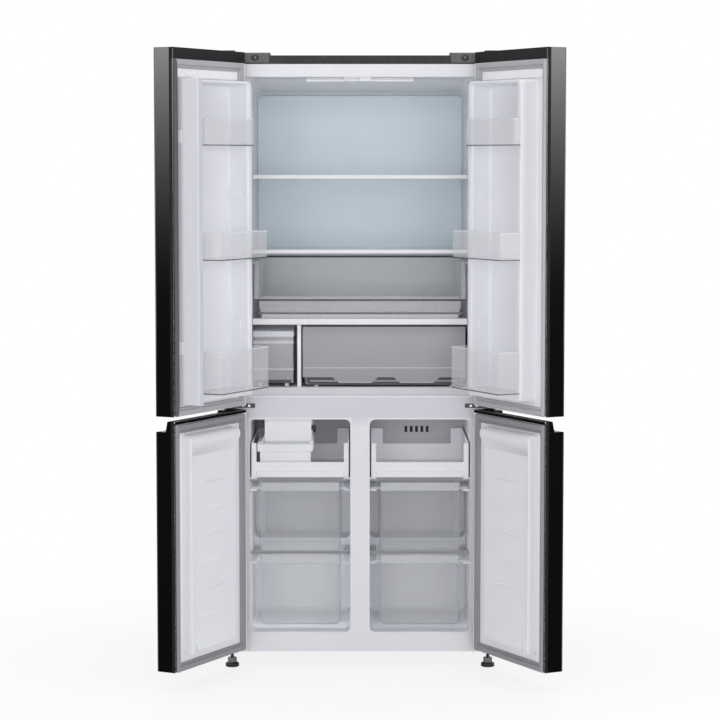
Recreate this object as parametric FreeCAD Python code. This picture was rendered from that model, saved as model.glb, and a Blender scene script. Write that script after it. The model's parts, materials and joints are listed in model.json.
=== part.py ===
import FreeCAD, Part
import math
import os

# Four-door refrigerator with all its doors open, in millimetres.
# X runs right, Z up from the floor, and Y back from the front of the cabinet while the pieces are made.
# save() then moves each piece so that the origin lies on the floor under the middle of the whole, doors open.

Vector = FreeCAD.Vector
UP = Vector(0, 0, 1)

# Cabinet shell
CABINET_WIDTH = 794.0
CABINET_BOTTOM = 41.0
CABINET_TOP = 1782.0
TOP_BAND = 25.0  # dark band along the top of the front
SHEET = 1.0
LINER = 2.0

# Fridge compartment
FRIDGE_OPENING = 670.0  # clear width at the front
FRIDGE_INNER = 644.0  # clear width behind the throat
THROAT_DEPTH = 114.0
FRIDGE_DEPTH = 560.0
BACK_WALL = 67.0  # from the fridge's inner back to the cabinet's back
FRIDGE_SILL = 796.0
FLOOR_RISE = 15.0
SILL_DEPTH = 45.0
RAMP_DEPTH = 50.0
ROOF_WALL = 62.0  # from the fridge's ceiling to the cabinet's top
CEILING_FALL = 29.0
CEILING_FLAT = 95.0

# Freezer compartments
FREEZER_OPENING = 646.0  # both spaces and the wall between them
MULLION_WIDTH = 57.0
FREEZER_FLOOR = 99.0
FREEZER_CEILING = 726.0
FREEZER_DEPTH = 555.0
STEP_DEPTH = 345.0  # the floor ends here, in front of the machine space
STEP_HEIGHT = 226.0
CHAMBER_DEPTH = 93.0  # evaporator chamber behind the back covers
BACK_COVER = 4.0

# Machine space at the bottom of the back
MACHINE_FRONT = 402.0
MACHINE_TOP = 262.0
MACHINE_PLATE = 2.0
COVER_SLOTS = 9

# Doors
DOOR_THICKNESS = 61.0
DOOR_GAP = 10.0  # from the cabinet's front to a door's inner face
CENTRE_GAP = 4.0
UPPER_DOOR_BOTTOM = 773.0
DOOR_RISE = 7.0  # of the upper doors above the cabinet
LOWER_DOOR_BOTTOM = 57.5
LOWER_DOOR_TOP = 760.5
OPEN_ANGLE = 117.3
GLASS = 4.0
SIDE_TRIM = 4.0
CAP_HEIGHT = 32.0
GRIP_HEIGHT = 29.5  # finger step along the top of a lower door
GRIP_BACK = 30.0  # the step's foot, in front of the inner face
GRIP_SLANT = 6.0
GRIP_START = 60.0  # from the hinge side
GASKET_WIDTH = 24.0
GASKET_INSET = 18.0
GASKET_FREE_WIDTH = 13.0
GASKET_EDGE = 2.0  # from the free side, the bottom and the top of a door
GASKET_CLEAR = 0.5

# Door hinges
PIN_INSET = 22.3  # from a door's side
PIN_SETBACK = 38.65  # in front of a door's inner face
PIN_RADIUS = 5.0
PIN_LENGTH = 20.0
RUNNING_FIT = 0.08
BRACKET_ARM = 35.0
BRACKET_REACH = 86.0
BRACKET_PLATE = 4.5
BRACKET_WALL = 3.0
BRACKET_HEIGHT = 12.0
ARM_END = 17.0  # past the pin
TOP_PLATE = 3.0
TOP_CLEAR = 1.5
TOP_REACH = 66.0
HINGE_COVER_LENGTH = 133.0
HINGE_COVER_HEIGHT = 8.0
HINGE_SIDE = 5.0  # brackets and covers stay this far inside the cabinet's side
COVER_WALL = 2.0
SCREW_RADIUS = 3.5
SCREW_HEAD = 2.5

# Raised ring on the inside of an upper door
DYKE_HINGE_INSET = 70.0
DYKE_FREE_INSET = 53.0
DYKE_WALL = 24.0
DYKE_TOP_WALL = 12.0
DYKE_HEIGHT = 50.0  # at the free side
DYKE_RISE = 15.0  # how much higher the ring's sloping face is at the hinge side
DYKE_TOP_CLEAR = 16.0
DYKE_BOTTOM_CLEAR = 14.0

# Bins of an upper door
BIN_WALL = 2.5
BIN_OVERLAP = 2.0  # inside the ring's outer edges
BIN_BACK_GAP = 3.0
TOP_BIN_DROP = 199.0  # from the ceiling to the top bin's floor
TOP_BIN_HEIGHT = 75.0
TOP_BIN_REACH = 8.0  # past the ring's highest edge
MIDDLE_BIN_Z = 1205.0
MIDDLE_BIN_HEIGHT = 77.0
MIDDLE_BIN_DEPTH = 116.0
BOTTOM_BIN_Z = 835.0
BOTTOM_BIN_HEIGHT = 118.0
BOTTOM_BIN_DEPTH = 119.0

# Raised panel on the inside of a lower door
PANEL_SIDE_CLEAR = 8.0
PANEL_END_CLEAR = 5.0
PANEL_HEIGHT = 30.0
PANEL_RECESS = 15.0
PANEL_RIM = 16.0  # along the free side
PANEL_LEDGE = 28.0  # along the top
PANEL_SLOPE = 36.0  # from the ledge down to the recess
RIB_COUNT = 6
RIB_PITCH = 75.6
RIB_LOWEST = 202.0
RIB_LENGTH = 135.0
RIB_INSET = 150.0
RIB_SIZE = 4.0
PAD_INSET = 171.0  # from the hinge side
PAD_LENGTH = 143.0
PAD_HEIGHT = 27.0
PAD_RISE = 5.0
PAD_END = 6.0  # above the panel's bottom

# Folding flap on the left upper door
FLAP_WIDTH = 68.0
FLAP_THICKNESS = 24.0
FLAP_FACE_INSET = 17.0  # folded face, from the door's free side
FLAP_FOOT = 2.0
FLAP_PIVOT_INSET = 22.0
FLAP_PIVOT_HEIGHT = 15.0
FLAP_BOTTOM_CLEAR = 10.0
FLAP_TOP_CLEAR = 16.0
FLAP_PIN_RADIUS = 3.0
LUG_RADIUS = 6.0
LUG_HEIGHT = 36.0
LUG_CLEAR = 2.0
LUG_END = 140.0  # from an end of the flap to its lug
GUIDE_PIN_RADIUS = 4.0
GUIDE_PIN_HEIGHT = 8.0
GUIDE_PIN_OFFSET = 15.0
GUIDE_PIN_SIDE = 7.0
GUIDE_HEIGHT = 12.0
GUIDE_SETBACK = 3.0
GUIDE_WALL = 8.0
GUIDE_BACK_WALL = 20.0
GUIDE_RIGHT = 33.0
GUIDE_CLEAR = 3.0

# Shelves and lamp
SHELF_GLASS = 4.0
SHELF_CLEAR = 6.0
SHELF_FRONT = 120.0
SHELF_BACK_GAP = 30.0
SHELF_TRIM_HEIGHT = 11.0
SHELF_TRIM_DEPTH = 16.0
TRIM_GRIP = 10.0  # depth of a trim's groove
UPPER_SHELF_Z = 1426.0
LOWER_SHELF_Z = 1206.0
COVER_Z = 997.0
COVER_FRONT = 97.0
COVER_TRIM_HEIGHT = 18.0
GLASS_LIFT = 3.0  # glass above a shelf trim's bottom
COVER_GLASS_LIFT = 10.0
LEDGE_WIDTH = 20.0
LEDGE_HEIGHT = 10.0
LEDGE_START = 136.0
LAMP_LENGTH = 314.0
LAMP_WIDTH = 30.0
LAMP_HEIGHT = 10.0
LAMP_GAP = 3.0  # behind the guide

# Duct panel on the fridge's back wall
DUCT_SPACE = 15.0
DUCT_WALL = 4.0
DUCT_SIDE_CLEAR = 4.0
DUCT_TOP_GAP = 10.0
DUCT_SLOTS = 4  # on each side, in the top
DUCT_SLOT_LENGTH = 50.0

# Drawers and tank in the fridge
SEAT_CLEAR = 0.3
DRAWER_WALL = 3.0
CRISPER_Z = 1027.0
CRISPER_HEIGHT = 158.0
CRISPER_FRONT_HEIGHT = 45.0
CRISPER_FRONT = 97.0
CRISPER_BACK_GAP = 63.0
CRISPER_SLOPE = 40.0
CRISPER_RIM = 14.0
CRISPER_SIDE_CLEAR = 10.0
CRISPER_RAIL = 6.0
RIM_THICKNESS = 5.0
LOWER_DRAWER_FRONT = 116.0
LOWER_DRAWER_BACK_GAP = 50.0
LOWER_DRAWER_LEFT = -170.0
LOWER_DRAWER_HEIGHT = 170.0
LOWER_FRONT_THICKNESS = 14.0
LOWER_FRONT_LIFT = 5.0
LOWER_FRONT_MARGIN = 6.0
LOWER_CORNER = 15.0
MOUTH_LENGTH = 123.0
MOUTH_HEIGHT = 22.0
MOUTH_DEPTH = 9.0
MOUTH_STARTS = (92.0, 271.0)  # from the drawer's left end
FLOOR_RIB = 4.0
FLOOR_RIB_WIDTH = 12.0
FLOOR_RIB_INSET = 40.0
PARTITION_WIDTH = 12.0
PARTITION_GAP = 4.0
TANK_WIDTH = 119.0
TANK_SIDE_CLEAR = 6.0
TANK_FRONT = 118.0
TANK_DEPTH = 300.0
TANK_HEIGHT = 135.0
TANK_LIFT = 11.0
TANK_WALL = 2.5
TANK_LID = 20.0
TANK_LIP = 6.0

# Freezer trays, drawers and ice maker
FREEZER_FRONT = 34.0
FREEZER_SIDE_CLEAR = 4.0
FREEZER_BACK_CLEAR = 10.0
RUNNER_WIDTH = 20.0
RUNNER_HEIGHT = 7.0
TRAY_Z = 552.0
TRAY_HEIGHT = 101.0
TRAY_LIP = 16.0
TRAY_POST = 15.0
TRAY_SILL = 45.0
TRAY_BACK = 53.0  # height of the back wall between its posts
TRAY_BACK_POST = 38.0
DRAWER_SIDE = 25.0  # from a drawer's rim to its body
UPPER_DRAWER_Z = 333.0
UPPER_DRAWER_HEIGHT = 203.0
LOWER_DRAWER_Z = 114.0
LOWER_FREEZER_HEIGHT = 206.0
DRAWER_BAND = 25.0
BAND_THICKNESS = 10.0
BAND_INSET = 28.0
RIM_DROP = 14.0  # rim's top below the drawer's top
ICE_MAKER_X = (-280.0, -143.0)
ICE_MAKER_HEIGHT = 68.0
ICE_MAKER_FRONT = 45.0
ICE_MAKER_DEPTH = 285.0
ICE_WALL = 3.0
ICE_BIN_X = (-294.0, -147.0)
ICE_BIN_FLANGE = 8.0
ICE_BIN_HEIGHT = 94.0
ICE_BIN_BAND = 22.0
ICE_BIN_DEPTH = 260.0
ICE_BIN_FRONT_GAP = 6.0
VENT_COUNT = 5
VENT_X = 138.0
VENT_Z = 639.0
VENT_HEIGHT = 19.0
VENT_WIDTH = 9.0
VENT_PITCH = 16.5

# Cooling machinery
EVAPORATOR_WIDTH = 460.0
EVAPORATOR_Z = 380.0
EVAPORATOR_HEIGHT = 210.0
EVAPORATOR_DEPTH = 62.0
FIN_COUNT = 22
FIN_THICKNESS = 1.2
TUBE_RADIUS = 4.0
TUBE_ROWS = 4
FAN_Z = 660.0
FAN_RADIUS = 52.0
FAN_HUB = 16.0
FAN_DEPTH = 18.0
BLADE_COUNT = 5
BLADE_THICKNESS = 2.0
BLADE_PITCH = 35.0
MOTOR_RADIUS = 22.0
MOTOR_LENGTH = 28.0
MOTOR_FLANGE = 3.0
SHAFT_RADIUS = 3.0
SHAFT_END = 2.0  # gap between a motor and its fan
FAN_GAP = 5.0
CONDENSER_FAN_X = 20.0
CONDENSER_FAN_RISE = 92.0  # axis above the machine plate
COMPRESSOR_X = -190.0
COMPRESSOR_RADIUS = 68.0
COMPRESSOR_BODY = 105.0
COMPRESSOR_DOME = 32.0
COMPRESSOR_FOOT = 3.0
FOOT_SPREAD = 160.0
GROMMET_RADIUS = 11.0
GROMMET_HEIGHT = 16.0
COIL_X = 130.0
COIL_LENGTH = 190.0
COIL_RUNS = 6
COIL_PITCH = 28.0
COIL_LIFT = 18.0
COIL_POST = 4.0

# Feet and rollers
FOOT_RADIUS = 20.0
FOOT_PAD = 13.0
FOOT_NUT = 8.0
FOOT_NUT_RADIUS = 10.0
STEM_RADIUS = 5.0
STEM_END = 0.5  # stem above the bottom bracket's plate
FOOT_SETBACK = 16.0  # in front of the cabinet
ROLLER_RADIUS = 20.0
ROLLER_WIDTH = 18.0
ROLLER_INSET = 67.0
ROLLER_SETBACK = 60.0
AXLE_RADIUS = 4.0
CHEEK = 2.5
CHEEK_GAP = 0.5

# Worked-out planes
CABINET_DEPTH = FRIDGE_DEPTH + BACK_WALL
FRIDGE_CEILING = CABINET_TOP - ROOF_WALL
UPPER_DOOR_TOP = CABINET_TOP + DOOR_RISE
TOP_BIN_Z = FRIDGE_CEILING - TOP_BIN_DROP
TOP_BIN_DEPTH = DYKE_HEIGHT + DYKE_RISE + TOP_BIN_REACH
SHELF_BACK = FRIDGE_DEPTH - SHELF_BACK_GAP
DUCT_TOP = FRIDGE_CEILING - CEILING_FALL - DUCT_TOP_GAP
CRISPER_DEPTH = FRIDGE_DEPTH - CRISPER_BACK_GAP - CRISPER_FRONT
LOWER_DRAWER_DEPTH = FRIDGE_DEPTH - LOWER_DRAWER_BACK_GAP - LOWER_DRAWER_FRONT
HALF = CABINET_WIDTH / 2
SIDE = HALF - SHEET
BACK = CABINET_DEPTH - SHEET
FRIDGE_FLOOR = FRIDGE_SILL + FLOOR_RISE
CEILING_BACK = FRIDGE_CEILING - CEILING_FALL
INNER = FRIDGE_INNER / 2
STEP_Z = FREEZER_FLOOR + STEP_HEIGHT
CHAMBER_FRONT = FREEZER_DEPTH - CHAMBER_DEPTH
FREEZER_X = (MULLION_WIDTH / 2, FREEZER_OPENING / 2)
FRAME_TOP = CABINET_TOP - TOP_BAND
DOOR_WIDTH = HALF - CENTRE_GAP / 2
DOOR_BACK = GLASS - DOOR_THICKNESS  # behind the front panel
PIN_X = PIN_INSET - HALF
PIN_Y = -DOOR_GAP - PIN_SETBACK
DOOR_TURN = math.radians(OPEN_ANGLE)
FLAP_TIP_U = DOOR_WIDTH - FLAP_FACE_INSET - PIN_INSET  # from the hinge pin
FLAP_TIP_H = FLAP_FOOT + FLAP_WIDTH + PIN_SETBACK
FRONT_REACH = PIN_Y - FLAP_TIP_U * math.sin(DOOR_TURN) + FLAP_TIP_H * math.cos(DOOR_TURN)
ORIGIN_Y = (CABINET_DEPTH + FRONT_REACH) / 2  # half way from the open flap's tip to the back
DYKE_Z = (FRIDGE_SILL + DYKE_BOTTOM_CLEAR, FRIDGE_CEILING - DYKE_TOP_CLEAR)
DYKE_U = (DYKE_HINGE_INSET, DOOR_WIDTH - DYKE_FREE_INSET)
FLAP_Z = (FRIDGE_SILL + FLAP_BOTTOM_CLEAR, FRIDGE_CEILING - FLAP_TOP_CLEAR)
PIVOT_U = DOOR_WIDTH - FLAP_PIVOT_INSET
FLOOR_SEAT = FRIDGE_FLOOR + FLOOR_RIB
MACHINE_FLOOR = CABINET_BOTTOM + MACHINE_PLATE
MACHINE_MIDDLE = (MACHINE_FRONT + BACK) / 2
HINGE_GAP_MIDDLE = (LOWER_DOOR_TOP + UPPER_DOOR_BOTTOM) / 2
BOTTOM_PLATE_TOP = LOWER_DOOR_BOTTOM - (UPPER_DOOR_BOTTOM - HINGE_GAP_MIDDLE - BRACKET_PLATE / 2)


def block(x, y, z):
    """Box between two values on each axis."""
    return Part.makeBox(x[1] - x[0], y[1] - y[0], z[1] - z[0], Vector(x[0], y[0], z[0]))


def grown(span, amount):
    return (span[0] - amount, span[1] + amount)


def about(middle, length):
    return (middle - length / 2, middle + length / 2)


def from_to(start, length):
    return (start, start + length)


def wide(half):
    return (-half, half)


def prism_yz(points, x):
    """Outline in Y and Z, drawn out along X."""
    corners = [Vector(x[0], y, z) for y, z in points]
    face = Part.Face(Part.makePolygon(corners + corners[:1]))
    return face.extrude(Vector(x[1] - x[0], 0, 0))


def rod(radius, start, end):
    return Part.makeCylinder(radius, (end - start).Length, start, end - start)


def joined(shapes):
    return shapes[0].multiFuse(shapes[1:]).removeSplitter()


def mirrored(shape):
    return shape.mirror(Vector(0, 0, 0), Vector(1, 0, 0))


def both_sides(shape):
    return [shape, mirrored(shape)]


def tub(x, y, z, wall):
    """Open box with walls and a floor."""
    return block(x, y, z).cut(block(grown(x, -wall), grown(y, -wall), (z[0] + wall, z[1])))


def save(name, *shapes):
    """Write a node, moved so that the origin lies under the middle of the whole."""
    solids = [solid for shape in shapes for solid in shape.Solids]
    group = Part.makeCompound(solids) if len(solids) > 1 else solids[0]
    group = group.copy()
    group.translate(Vector(0, -ORIGIN_Y, 0))
    group.exportStep(f"parts/{name}.step")


# Cabinet shell

def outer_case():
    """Side panels, and the roof panel with the band it turns down at the front."""
    sides = both_sides(block((-HALF, -SIDE), (0, CABINET_DEPTH), (CABINET_BOTTOM, CABINET_TOP - SHEET)))
    roof = block(wide(HALF), (0, CABINET_DEPTH), (CABINET_TOP - SHEET, CABINET_TOP))
    band = block(wide(SIDE), (0, SHEET), (FRAME_TOP, CABINET_TOP))
    return [joined([roof, band]), *sides]


def front_frame():
    plate = block(wide(SIDE), (0, SHEET), (CABINET_BOTTOM, FRAME_TOP))
    fridge = block(wide(FRIDGE_OPENING / 2), (0, SHEET), (FRIDGE_SILL, FRIDGE_CEILING))
    freezer = block(FREEZER_X, (0, SHEET), (FREEZER_FLOOR, FREEZER_CEILING))
    return plate.cut(fridge).cut(freezer).cut(mirrored(freezer))


def back_panel():
    return block(wide(SIDE), (BACK, CABINET_DEPTH), (MACHINE_TOP, CABINET_TOP - SHEET))


def base_pan():
    """Sheet under the freezer that steps up in front of and over the machine space."""
    outline = [
        (SHEET, CABINET_BOTTOM),
        (MACHINE_FRONT, CABINET_BOTTOM),
        (MACHINE_FRONT, MACHINE_TOP),
        (BACK, MACHINE_TOP),
        (BACK, MACHINE_TOP + SHEET),
        (MACHINE_FRONT - SHEET, MACHINE_TOP + SHEET),
        (MACHINE_FRONT - SHEET, CABINET_BOTTOM + SHEET),
        (SHEET, CABINET_BOTTOM + SHEET),
    ]
    return prism_yz(outline, wide(SIDE))


def roller_x(side):
    return side * (HALF - ROLLER_INSET)


def machine_base():
    """Plate that carries the compressor, with forks and axles for the rear rollers under it."""
    pieces = [block(wide(SIDE), (MACHINE_FRONT, BACK), (CABINET_BOTTOM, MACHINE_FLOOR))]
    axle_y = CABINET_DEPTH - ROLLER_SETBACK
    reach = ROLLER_WIDTH / 2 + CHEEK_GAP
    for side in (-1, 1):
        for edge in (-1, 1):
            middle = roller_x(side) + edge * (reach + CHEEK / 2)
            height = (ROLLER_RADIUS - 2 * AXLE_RADIUS, CABINET_BOTTOM)
            pieces.append(block(about(middle, CHEEK), about(axle_y, ROLLER_RADIUS), height))
        start = Vector(roller_x(side) - reach - CHEEK, axle_y, ROLLER_RADIUS)
        pieces.append(rod(AXLE_RADIUS, start, start + Vector(2 * (reach + CHEEK), 0, 0)))
    return joined(pieces)


def machine_cover():
    """Rear cover of the machine space, with rows of air slots."""
    height = (CABINET_BOTTOM, MACHINE_TOP)
    cover = block(wide(SIDE), (BACK, CABINET_DEPTH), height)
    pitch = (MACHINE_TOP - CABINET_BOTTOM) / (COVER_SLOTS + 1)
    for row in range(COVER_SLOTS):
        level = about(CABINET_BOTTOM + (row + 1) * pitch, pitch / 3)
        for slot in both_sides(block((SIDE / 8, SIDE * 3 / 4), (BACK, CABINET_DEPTH), level)):
            cover = cover.cut(slot)
    return cover


# Insides of the liners. Grown by the liner's wall, they are the hollows in the foam

def fridge_space(extra):
    outline = [
        (0, FRIDGE_SILL - extra),
        (SILL_DEPTH, FRIDGE_SILL - extra),
        (SILL_DEPTH + RAMP_DEPTH, FRIDGE_FLOOR - extra),
        (FRIDGE_DEPTH + extra, FRIDGE_FLOOR - extra),
        (FRIDGE_DEPTH + extra, CEILING_BACK + extra),
        (CEILING_FLAT, FRIDGE_CEILING + extra),
        (0, FRIDGE_CEILING + extra),
    ]
    throat = prism_yz(outline, wide(FRIDGE_OPENING / 2 + extra))
    front = block(wide(HALF), (0, THROAT_DEPTH + extra), (0, CABINET_TOP))
    return joined([throat.common(front), prism_yz(outline, wide(INNER + extra))])


def freezer_space(extra):
    outline = [
        (0, FREEZER_FLOOR - extra),
        (STEP_DEPTH + extra, FREEZER_FLOOR - extra),
        (STEP_DEPTH + extra, STEP_Z - extra),
        (FREEZER_DEPTH + extra, STEP_Z - extra),
        (FREEZER_DEPTH + extra, FREEZER_CEILING + extra),
        (0, FREEZER_CEILING + extra),
    ]
    room = prism_yz(outline, grown(FREEZER_X, extra))
    depth = grown((CHAMBER_FRONT, FREEZER_DEPTH), extra)
    chamber = block(wide(FREEZER_X[1] + extra), depth, grown((STEP_Z, FREEZER_CEILING), extra))
    return joined([chamber] + both_sides(room))


def liner_shell(space):
    front = block(wide(HALF), (0, SHEET), (0, CABINET_TOP))
    return space(LINER).cut(space(0)).cut(front)


def side_ledge(top, start, end):
    """Moulded ledge on the fridge's right wall."""
    return block((INNER - LEDGE_WIDTH, INNER), (start, end), (top - LEDGE_HEIGHT, top))


def floor_rib(x, top):
    return block(about(x, FLOOR_RIB_WIDTH), (LEDGE_START, SHELF_BACK), (FRIDGE_FLOOR, top))


def tank_x():
    return from_to(TANK_SIDE_CLEAR - INNER, TANK_WIDTH)


def lower_drawer_x():
    return (LOWER_DRAWER_LEFT, INNER - CRISPER_SIDE_CLEAR)


def cover_glass_z():
    return COVER_Z + COVER_GLASS_LIFT


def fridge_liner():
    """Liner with ledges under the shelves and crisper's rims, and ribs under the tank and lower drawer."""
    tops = [
        UPPER_SHELF_Z + GLASS_LIFT,
        LOWER_SHELF_Z + GLASS_LIFT,
        cover_glass_z(),
        CRISPER_Z + CRISPER_HEIGHT - RIM_THICKNESS - SEAT_CLEAR,
    ]
    pieces = [liner_shell(fridge_space)]
    for top in tops:
        pieces += both_sides(side_ledge(top, LEDGE_START, SHELF_BACK))
    for x in grown(lower_drawer_x(), -FLOOR_RIB_INSET):
        pieces.append(floor_rib(x, FLOOR_SEAT - SEAT_CLEAR))
    for x in grown(tank_x(), -FLOOR_RIB_INSET / 2):
        pieces.append(floor_rib(x, FRIDGE_FLOOR + TANK_LIFT - SEAT_CLEAR))
    return joined(pieces)


def drawer_back(bottom):
    """Where a freezer drawer ends: in front of the back cover or, low down, of the machine step."""
    wall = CHAMBER_FRONT - BACK_COVER if bottom > STEP_Z else STEP_DEPTH
    return wall - FREEZER_BACK_CLEAR


def rim_bottom(bottom, height):
    return bottom + height - RIM_DROP - RIM_THICKNESS


def freezer_liner():
    """Liner of both freezer spaces, with a pair of runners under each tray and drawer."""
    seats = [
        (TRAY_Z, drawer_back(TRAY_Z)),
        (rim_bottom(UPPER_DRAWER_Z, UPPER_DRAWER_HEIGHT), drawer_back(UPPER_DRAWER_Z)),
        (rim_bottom(LOWER_DRAWER_Z, LOWER_FREEZER_HEIGHT), drawer_back(LOWER_DRAWER_Z)),
    ]
    pieces = [liner_shell(freezer_space)]
    for seat, end in seats:
        top = seat - SEAT_CLEAR
        for x in (from_to(FREEZER_X[0], RUNNER_WIDTH), (FREEZER_X[1] - RUNNER_WIDTH, FREEZER_X[1])):
            runner = block(x, (FREEZER_FRONT + BAND_THICKNESS, end), (top - RUNNER_HEIGHT, top))
            pieces += both_sides(runner)
    return joined(pieces)


def foam_slab(outline):
    """Level foam between the side walls, in two lengths because the throat is wider."""
    turn = THROAT_DEPTH + LINER
    tall = (0, CABINET_TOP)
    front = prism_yz(outline, wide(FRIDGE_OPENING / 2 + LINER)).common(block(wide(HALF), (0, turn), tall))
    rear = prism_yz(outline, wide(INNER + LINER)).common(block(wide(HALF), (turn, BACK), tall))
    return [front, rear]


def cabinet_foam():
    """Foam between the case and the liners, as blocks that meet face to face."""
    bottom = CABINET_BOTTOM + SHEET
    top = CABINET_TOP - SHEET
    split = FREEZER_CEILING + LINER
    turn = THROAT_DEPTH + LINER
    machine_y = MACHINE_FRONT - SHEET
    machine_z = MACHINE_TOP + SHEET
    freezer_side = FREEZER_X[1] + LINER
    step_y = STEP_DEPTH + LINER
    step_z = STEP_Z - LINER
    floor = FREEZER_FLOOR - LINER
    walls = [
        block((-SIDE, -FRIDGE_OPENING / 2 - LINER), (SHEET, turn), (split, top)),
        block((-SIDE, -INNER - LINER), (turn, BACK), (split, top)),
        block((-SIDE, -freezer_side), (SHEET, machine_y), (bottom, split)),
        block((-SIDE, -freezer_side), (machine_y, BACK), (machine_z, split)),
    ]
    ceiling = [
        (SHEET, top),
        (BACK, top),
        (BACK, CEILING_BACK + LINER),
        (FRIDGE_DEPTH + LINER, CEILING_BACK + LINER),
        (CEILING_FLAT, FRIDGE_CEILING + LINER),
        (SHEET, FRIDGE_CEILING + LINER),
    ]
    divider = [
        (SHEET, split),
        (BACK, split),
        (BACK, FRIDGE_FLOOR - LINER),
        (SILL_DEPTH + RAMP_DEPTH, FRIDGE_FLOOR - LINER),
        (SILL_DEPTH, FRIDGE_SILL - LINER),
        (SHEET, FRIDGE_SILL - LINER),
    ]
    fridge_height = (FRIDGE_FLOOR - LINER, CEILING_BACK + LINER)
    mullion = wide(FREEZER_X[0] - LINER)
    level = [
        block(wide(INNER + LINER), (FRIDGE_DEPTH + LINER, BACK), fridge_height),
        block(wide(freezer_side), (SHEET, machine_y), (bottom, floor)),
        block(wide(freezer_side), (step_y, machine_y), (floor, step_z)),
        block(wide(freezer_side), (machine_y, BACK), (machine_z, step_z)),
        block(wide(freezer_side), (FREEZER_DEPTH + LINER, BACK), (step_z, split)),
        block(mullion, (SHEET, step_y), (floor, split)),
        block(mullion, (step_y, CHAMBER_FRONT - LINER), (step_z, split)),
    ]
    sides = [piece for wall in walls for piece in both_sides(wall)]
    return sides + foam_slab(ceiling) + foam_slab(divider) + level


# Fridge fittings

def shelf_pieces(bottom, front, trim_height, lift):
    """Glass pane and the front trim that grips it."""
    half = INNER - SHELF_CLEAR
    pane_y = (front + SHELF_TRIM_DEPTH - TRIM_GRIP, SHELF_BACK)
    pane = block(wide(half), pane_y, from_to(bottom + lift, SHELF_GLASS))
    trim = block(wide(half), from_to(front, SHELF_TRIM_DEPTH), from_to(bottom, trim_height))
    return pane, trim.cut(pane)


def shelves():
    return [
        shelf_pieces(UPPER_SHELF_Z, SHELF_FRONT, SHELF_TRIM_HEIGHT, GLASS_LIFT),
        shelf_pieces(LOWER_SHELF_Z, SHELF_FRONT, SHELF_TRIM_HEIGHT, GLASS_LIFT),
        shelf_pieces(COVER_Z, COVER_FRONT, COVER_TRIM_HEIGHT, COVER_GLASS_LIFT),
    ]


def drawer_partition():
    x = (LOWER_DRAWER_LEFT - PARTITION_GAP - PARTITION_WIDTH, LOWER_DRAWER_LEFT - PARTITION_GAP)
    return block(x, (SHELF_FRONT, SHELF_BACK), (FRIDGE_FLOOR, cover_glass_z()))


def fridge_duct_panel():
    """Shallow tray that closes the air duct on the back wall, with air slots along its top."""
    front = FRIDGE_DEPTH - DUCT_SPACE
    half = INNER - DUCT_SIDE_CLEAR
    height = (cover_glass_z() + SHELF_GLASS, DUCT_TOP)
    panel = block(wide(half), (front, FRIDGE_DEPTH), height)
    hollow = block(wide(half - DUCT_WALL), (front + DUCT_WALL, FRIDGE_DEPTH), grown(height, -DUCT_WALL))
    panel = panel.cut(hollow)
    pitch = half / DUCT_SLOTS
    for column in range(DUCT_SLOTS):
        x = about((column + 0.5) * pitch, DUCT_SLOT_LENGTH)
        for slot in both_sides(block(x, (front + DUCT_WALL, FRIDGE_DEPTH), (DUCT_TOP - DUCT_WALL, DUCT_TOP))):
            panel = panel.cut(slot)
    return panel


def freezer_back_covers():
    """Covers in front of the evaporator, with a row of air slots each."""
    cover = block(FREEZER_X, (CHAMBER_FRONT - BACK_COVER, CHAMBER_FRONT), (STEP_Z, FREEZER_CEILING))
    for column in range(VENT_COUNT):
        x = from_to(VENT_X + column * VENT_PITCH, VENT_WIDTH)
        slot = block(x, (CHAMBER_FRONT - BACK_COVER, CHAMBER_FRONT), from_to(VENT_Z, VENT_HEIGHT))
        cover = cover.cut(slot)
    return both_sides(cover)


def guide_pin_u():
    return PIVOT_U - GUIDE_PIN_SIDE


def flap_guide():
    """Ceiling block whose pocket takes the flap's guide pin, open to the front."""
    front = GUIDE_SETBACK
    folded = guide_pin_u() - HALF
    turned = PIVOT_U + GUIDE_PIN_OFFSET - HALF
    room = GUIDE_PIN_RADIUS + GUIDE_CLEAR
    pocket_x = (folded - room, turned + room)
    pocket_back = FLAP_PIVOT_HEIGHT + GUIDE_PIN_OFFSET - DOOR_GAP + room
    height = (FRIDGE_CEILING - GUIDE_HEIGHT, FRIDGE_CEILING)
    body = block((pocket_x[0] - GUIDE_WALL, GUIDE_RIGHT), (front, pocket_back + GUIDE_BACK_WALL), height)
    return body.cut(block(pocket_x, (front, pocket_back), (height[0], height[1] - GUIDE_CLEAR)))


def guide_back():
    room = GUIDE_PIN_RADIUS + GUIDE_CLEAR
    return FLAP_PIVOT_HEIGHT + GUIDE_PIN_OFFSET - DOOR_GAP + room + GUIDE_BACK_WALL


def ceiling_lamp():
    start = guide_back() + LAMP_GAP
    lamp_z = (FRIDGE_CEILING - LAMP_HEIGHT, FRIDGE_CEILING)
    return block(wide(LAMP_LENGTH / 2), from_to(start, LAMP_WIDTH), lamp_z)


# Fridge drawers and tank

def upper_crisper():
    """Wide clear tub with a low front and a rail along it; side rims hang on the liner's ledges."""
    half = INNER - CRISPER_SIDE_CLEAR
    body = half - CRISPER_RIM
    y = from_to(CRISPER_FRONT, CRISPER_DEPTH)
    top = CRISPER_Z + CRISPER_HEIGHT
    low = CRISPER_Z + CRISPER_FRONT_HEIGHT
    slope_end = CRISPER_FRONT + CRISPER_SLOPE
    away = prism_yz([(y[0], low), (slope_end, top), (y[0], top)], wide(half))
    shell = tub(wide(body), y, (CRISPER_Z, top), DRAWER_WALL).cut(away)
    rim = block((body, half), (slope_end, y[1]), (top - RIM_THICKNESS, top))
    rail = block(wide(half), from_to(CRISPER_FRONT, CRISPER_RAIL), (low - CRISPER_RAIL, low))
    return joined([shell, rail] + both_sides(rim))


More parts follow.
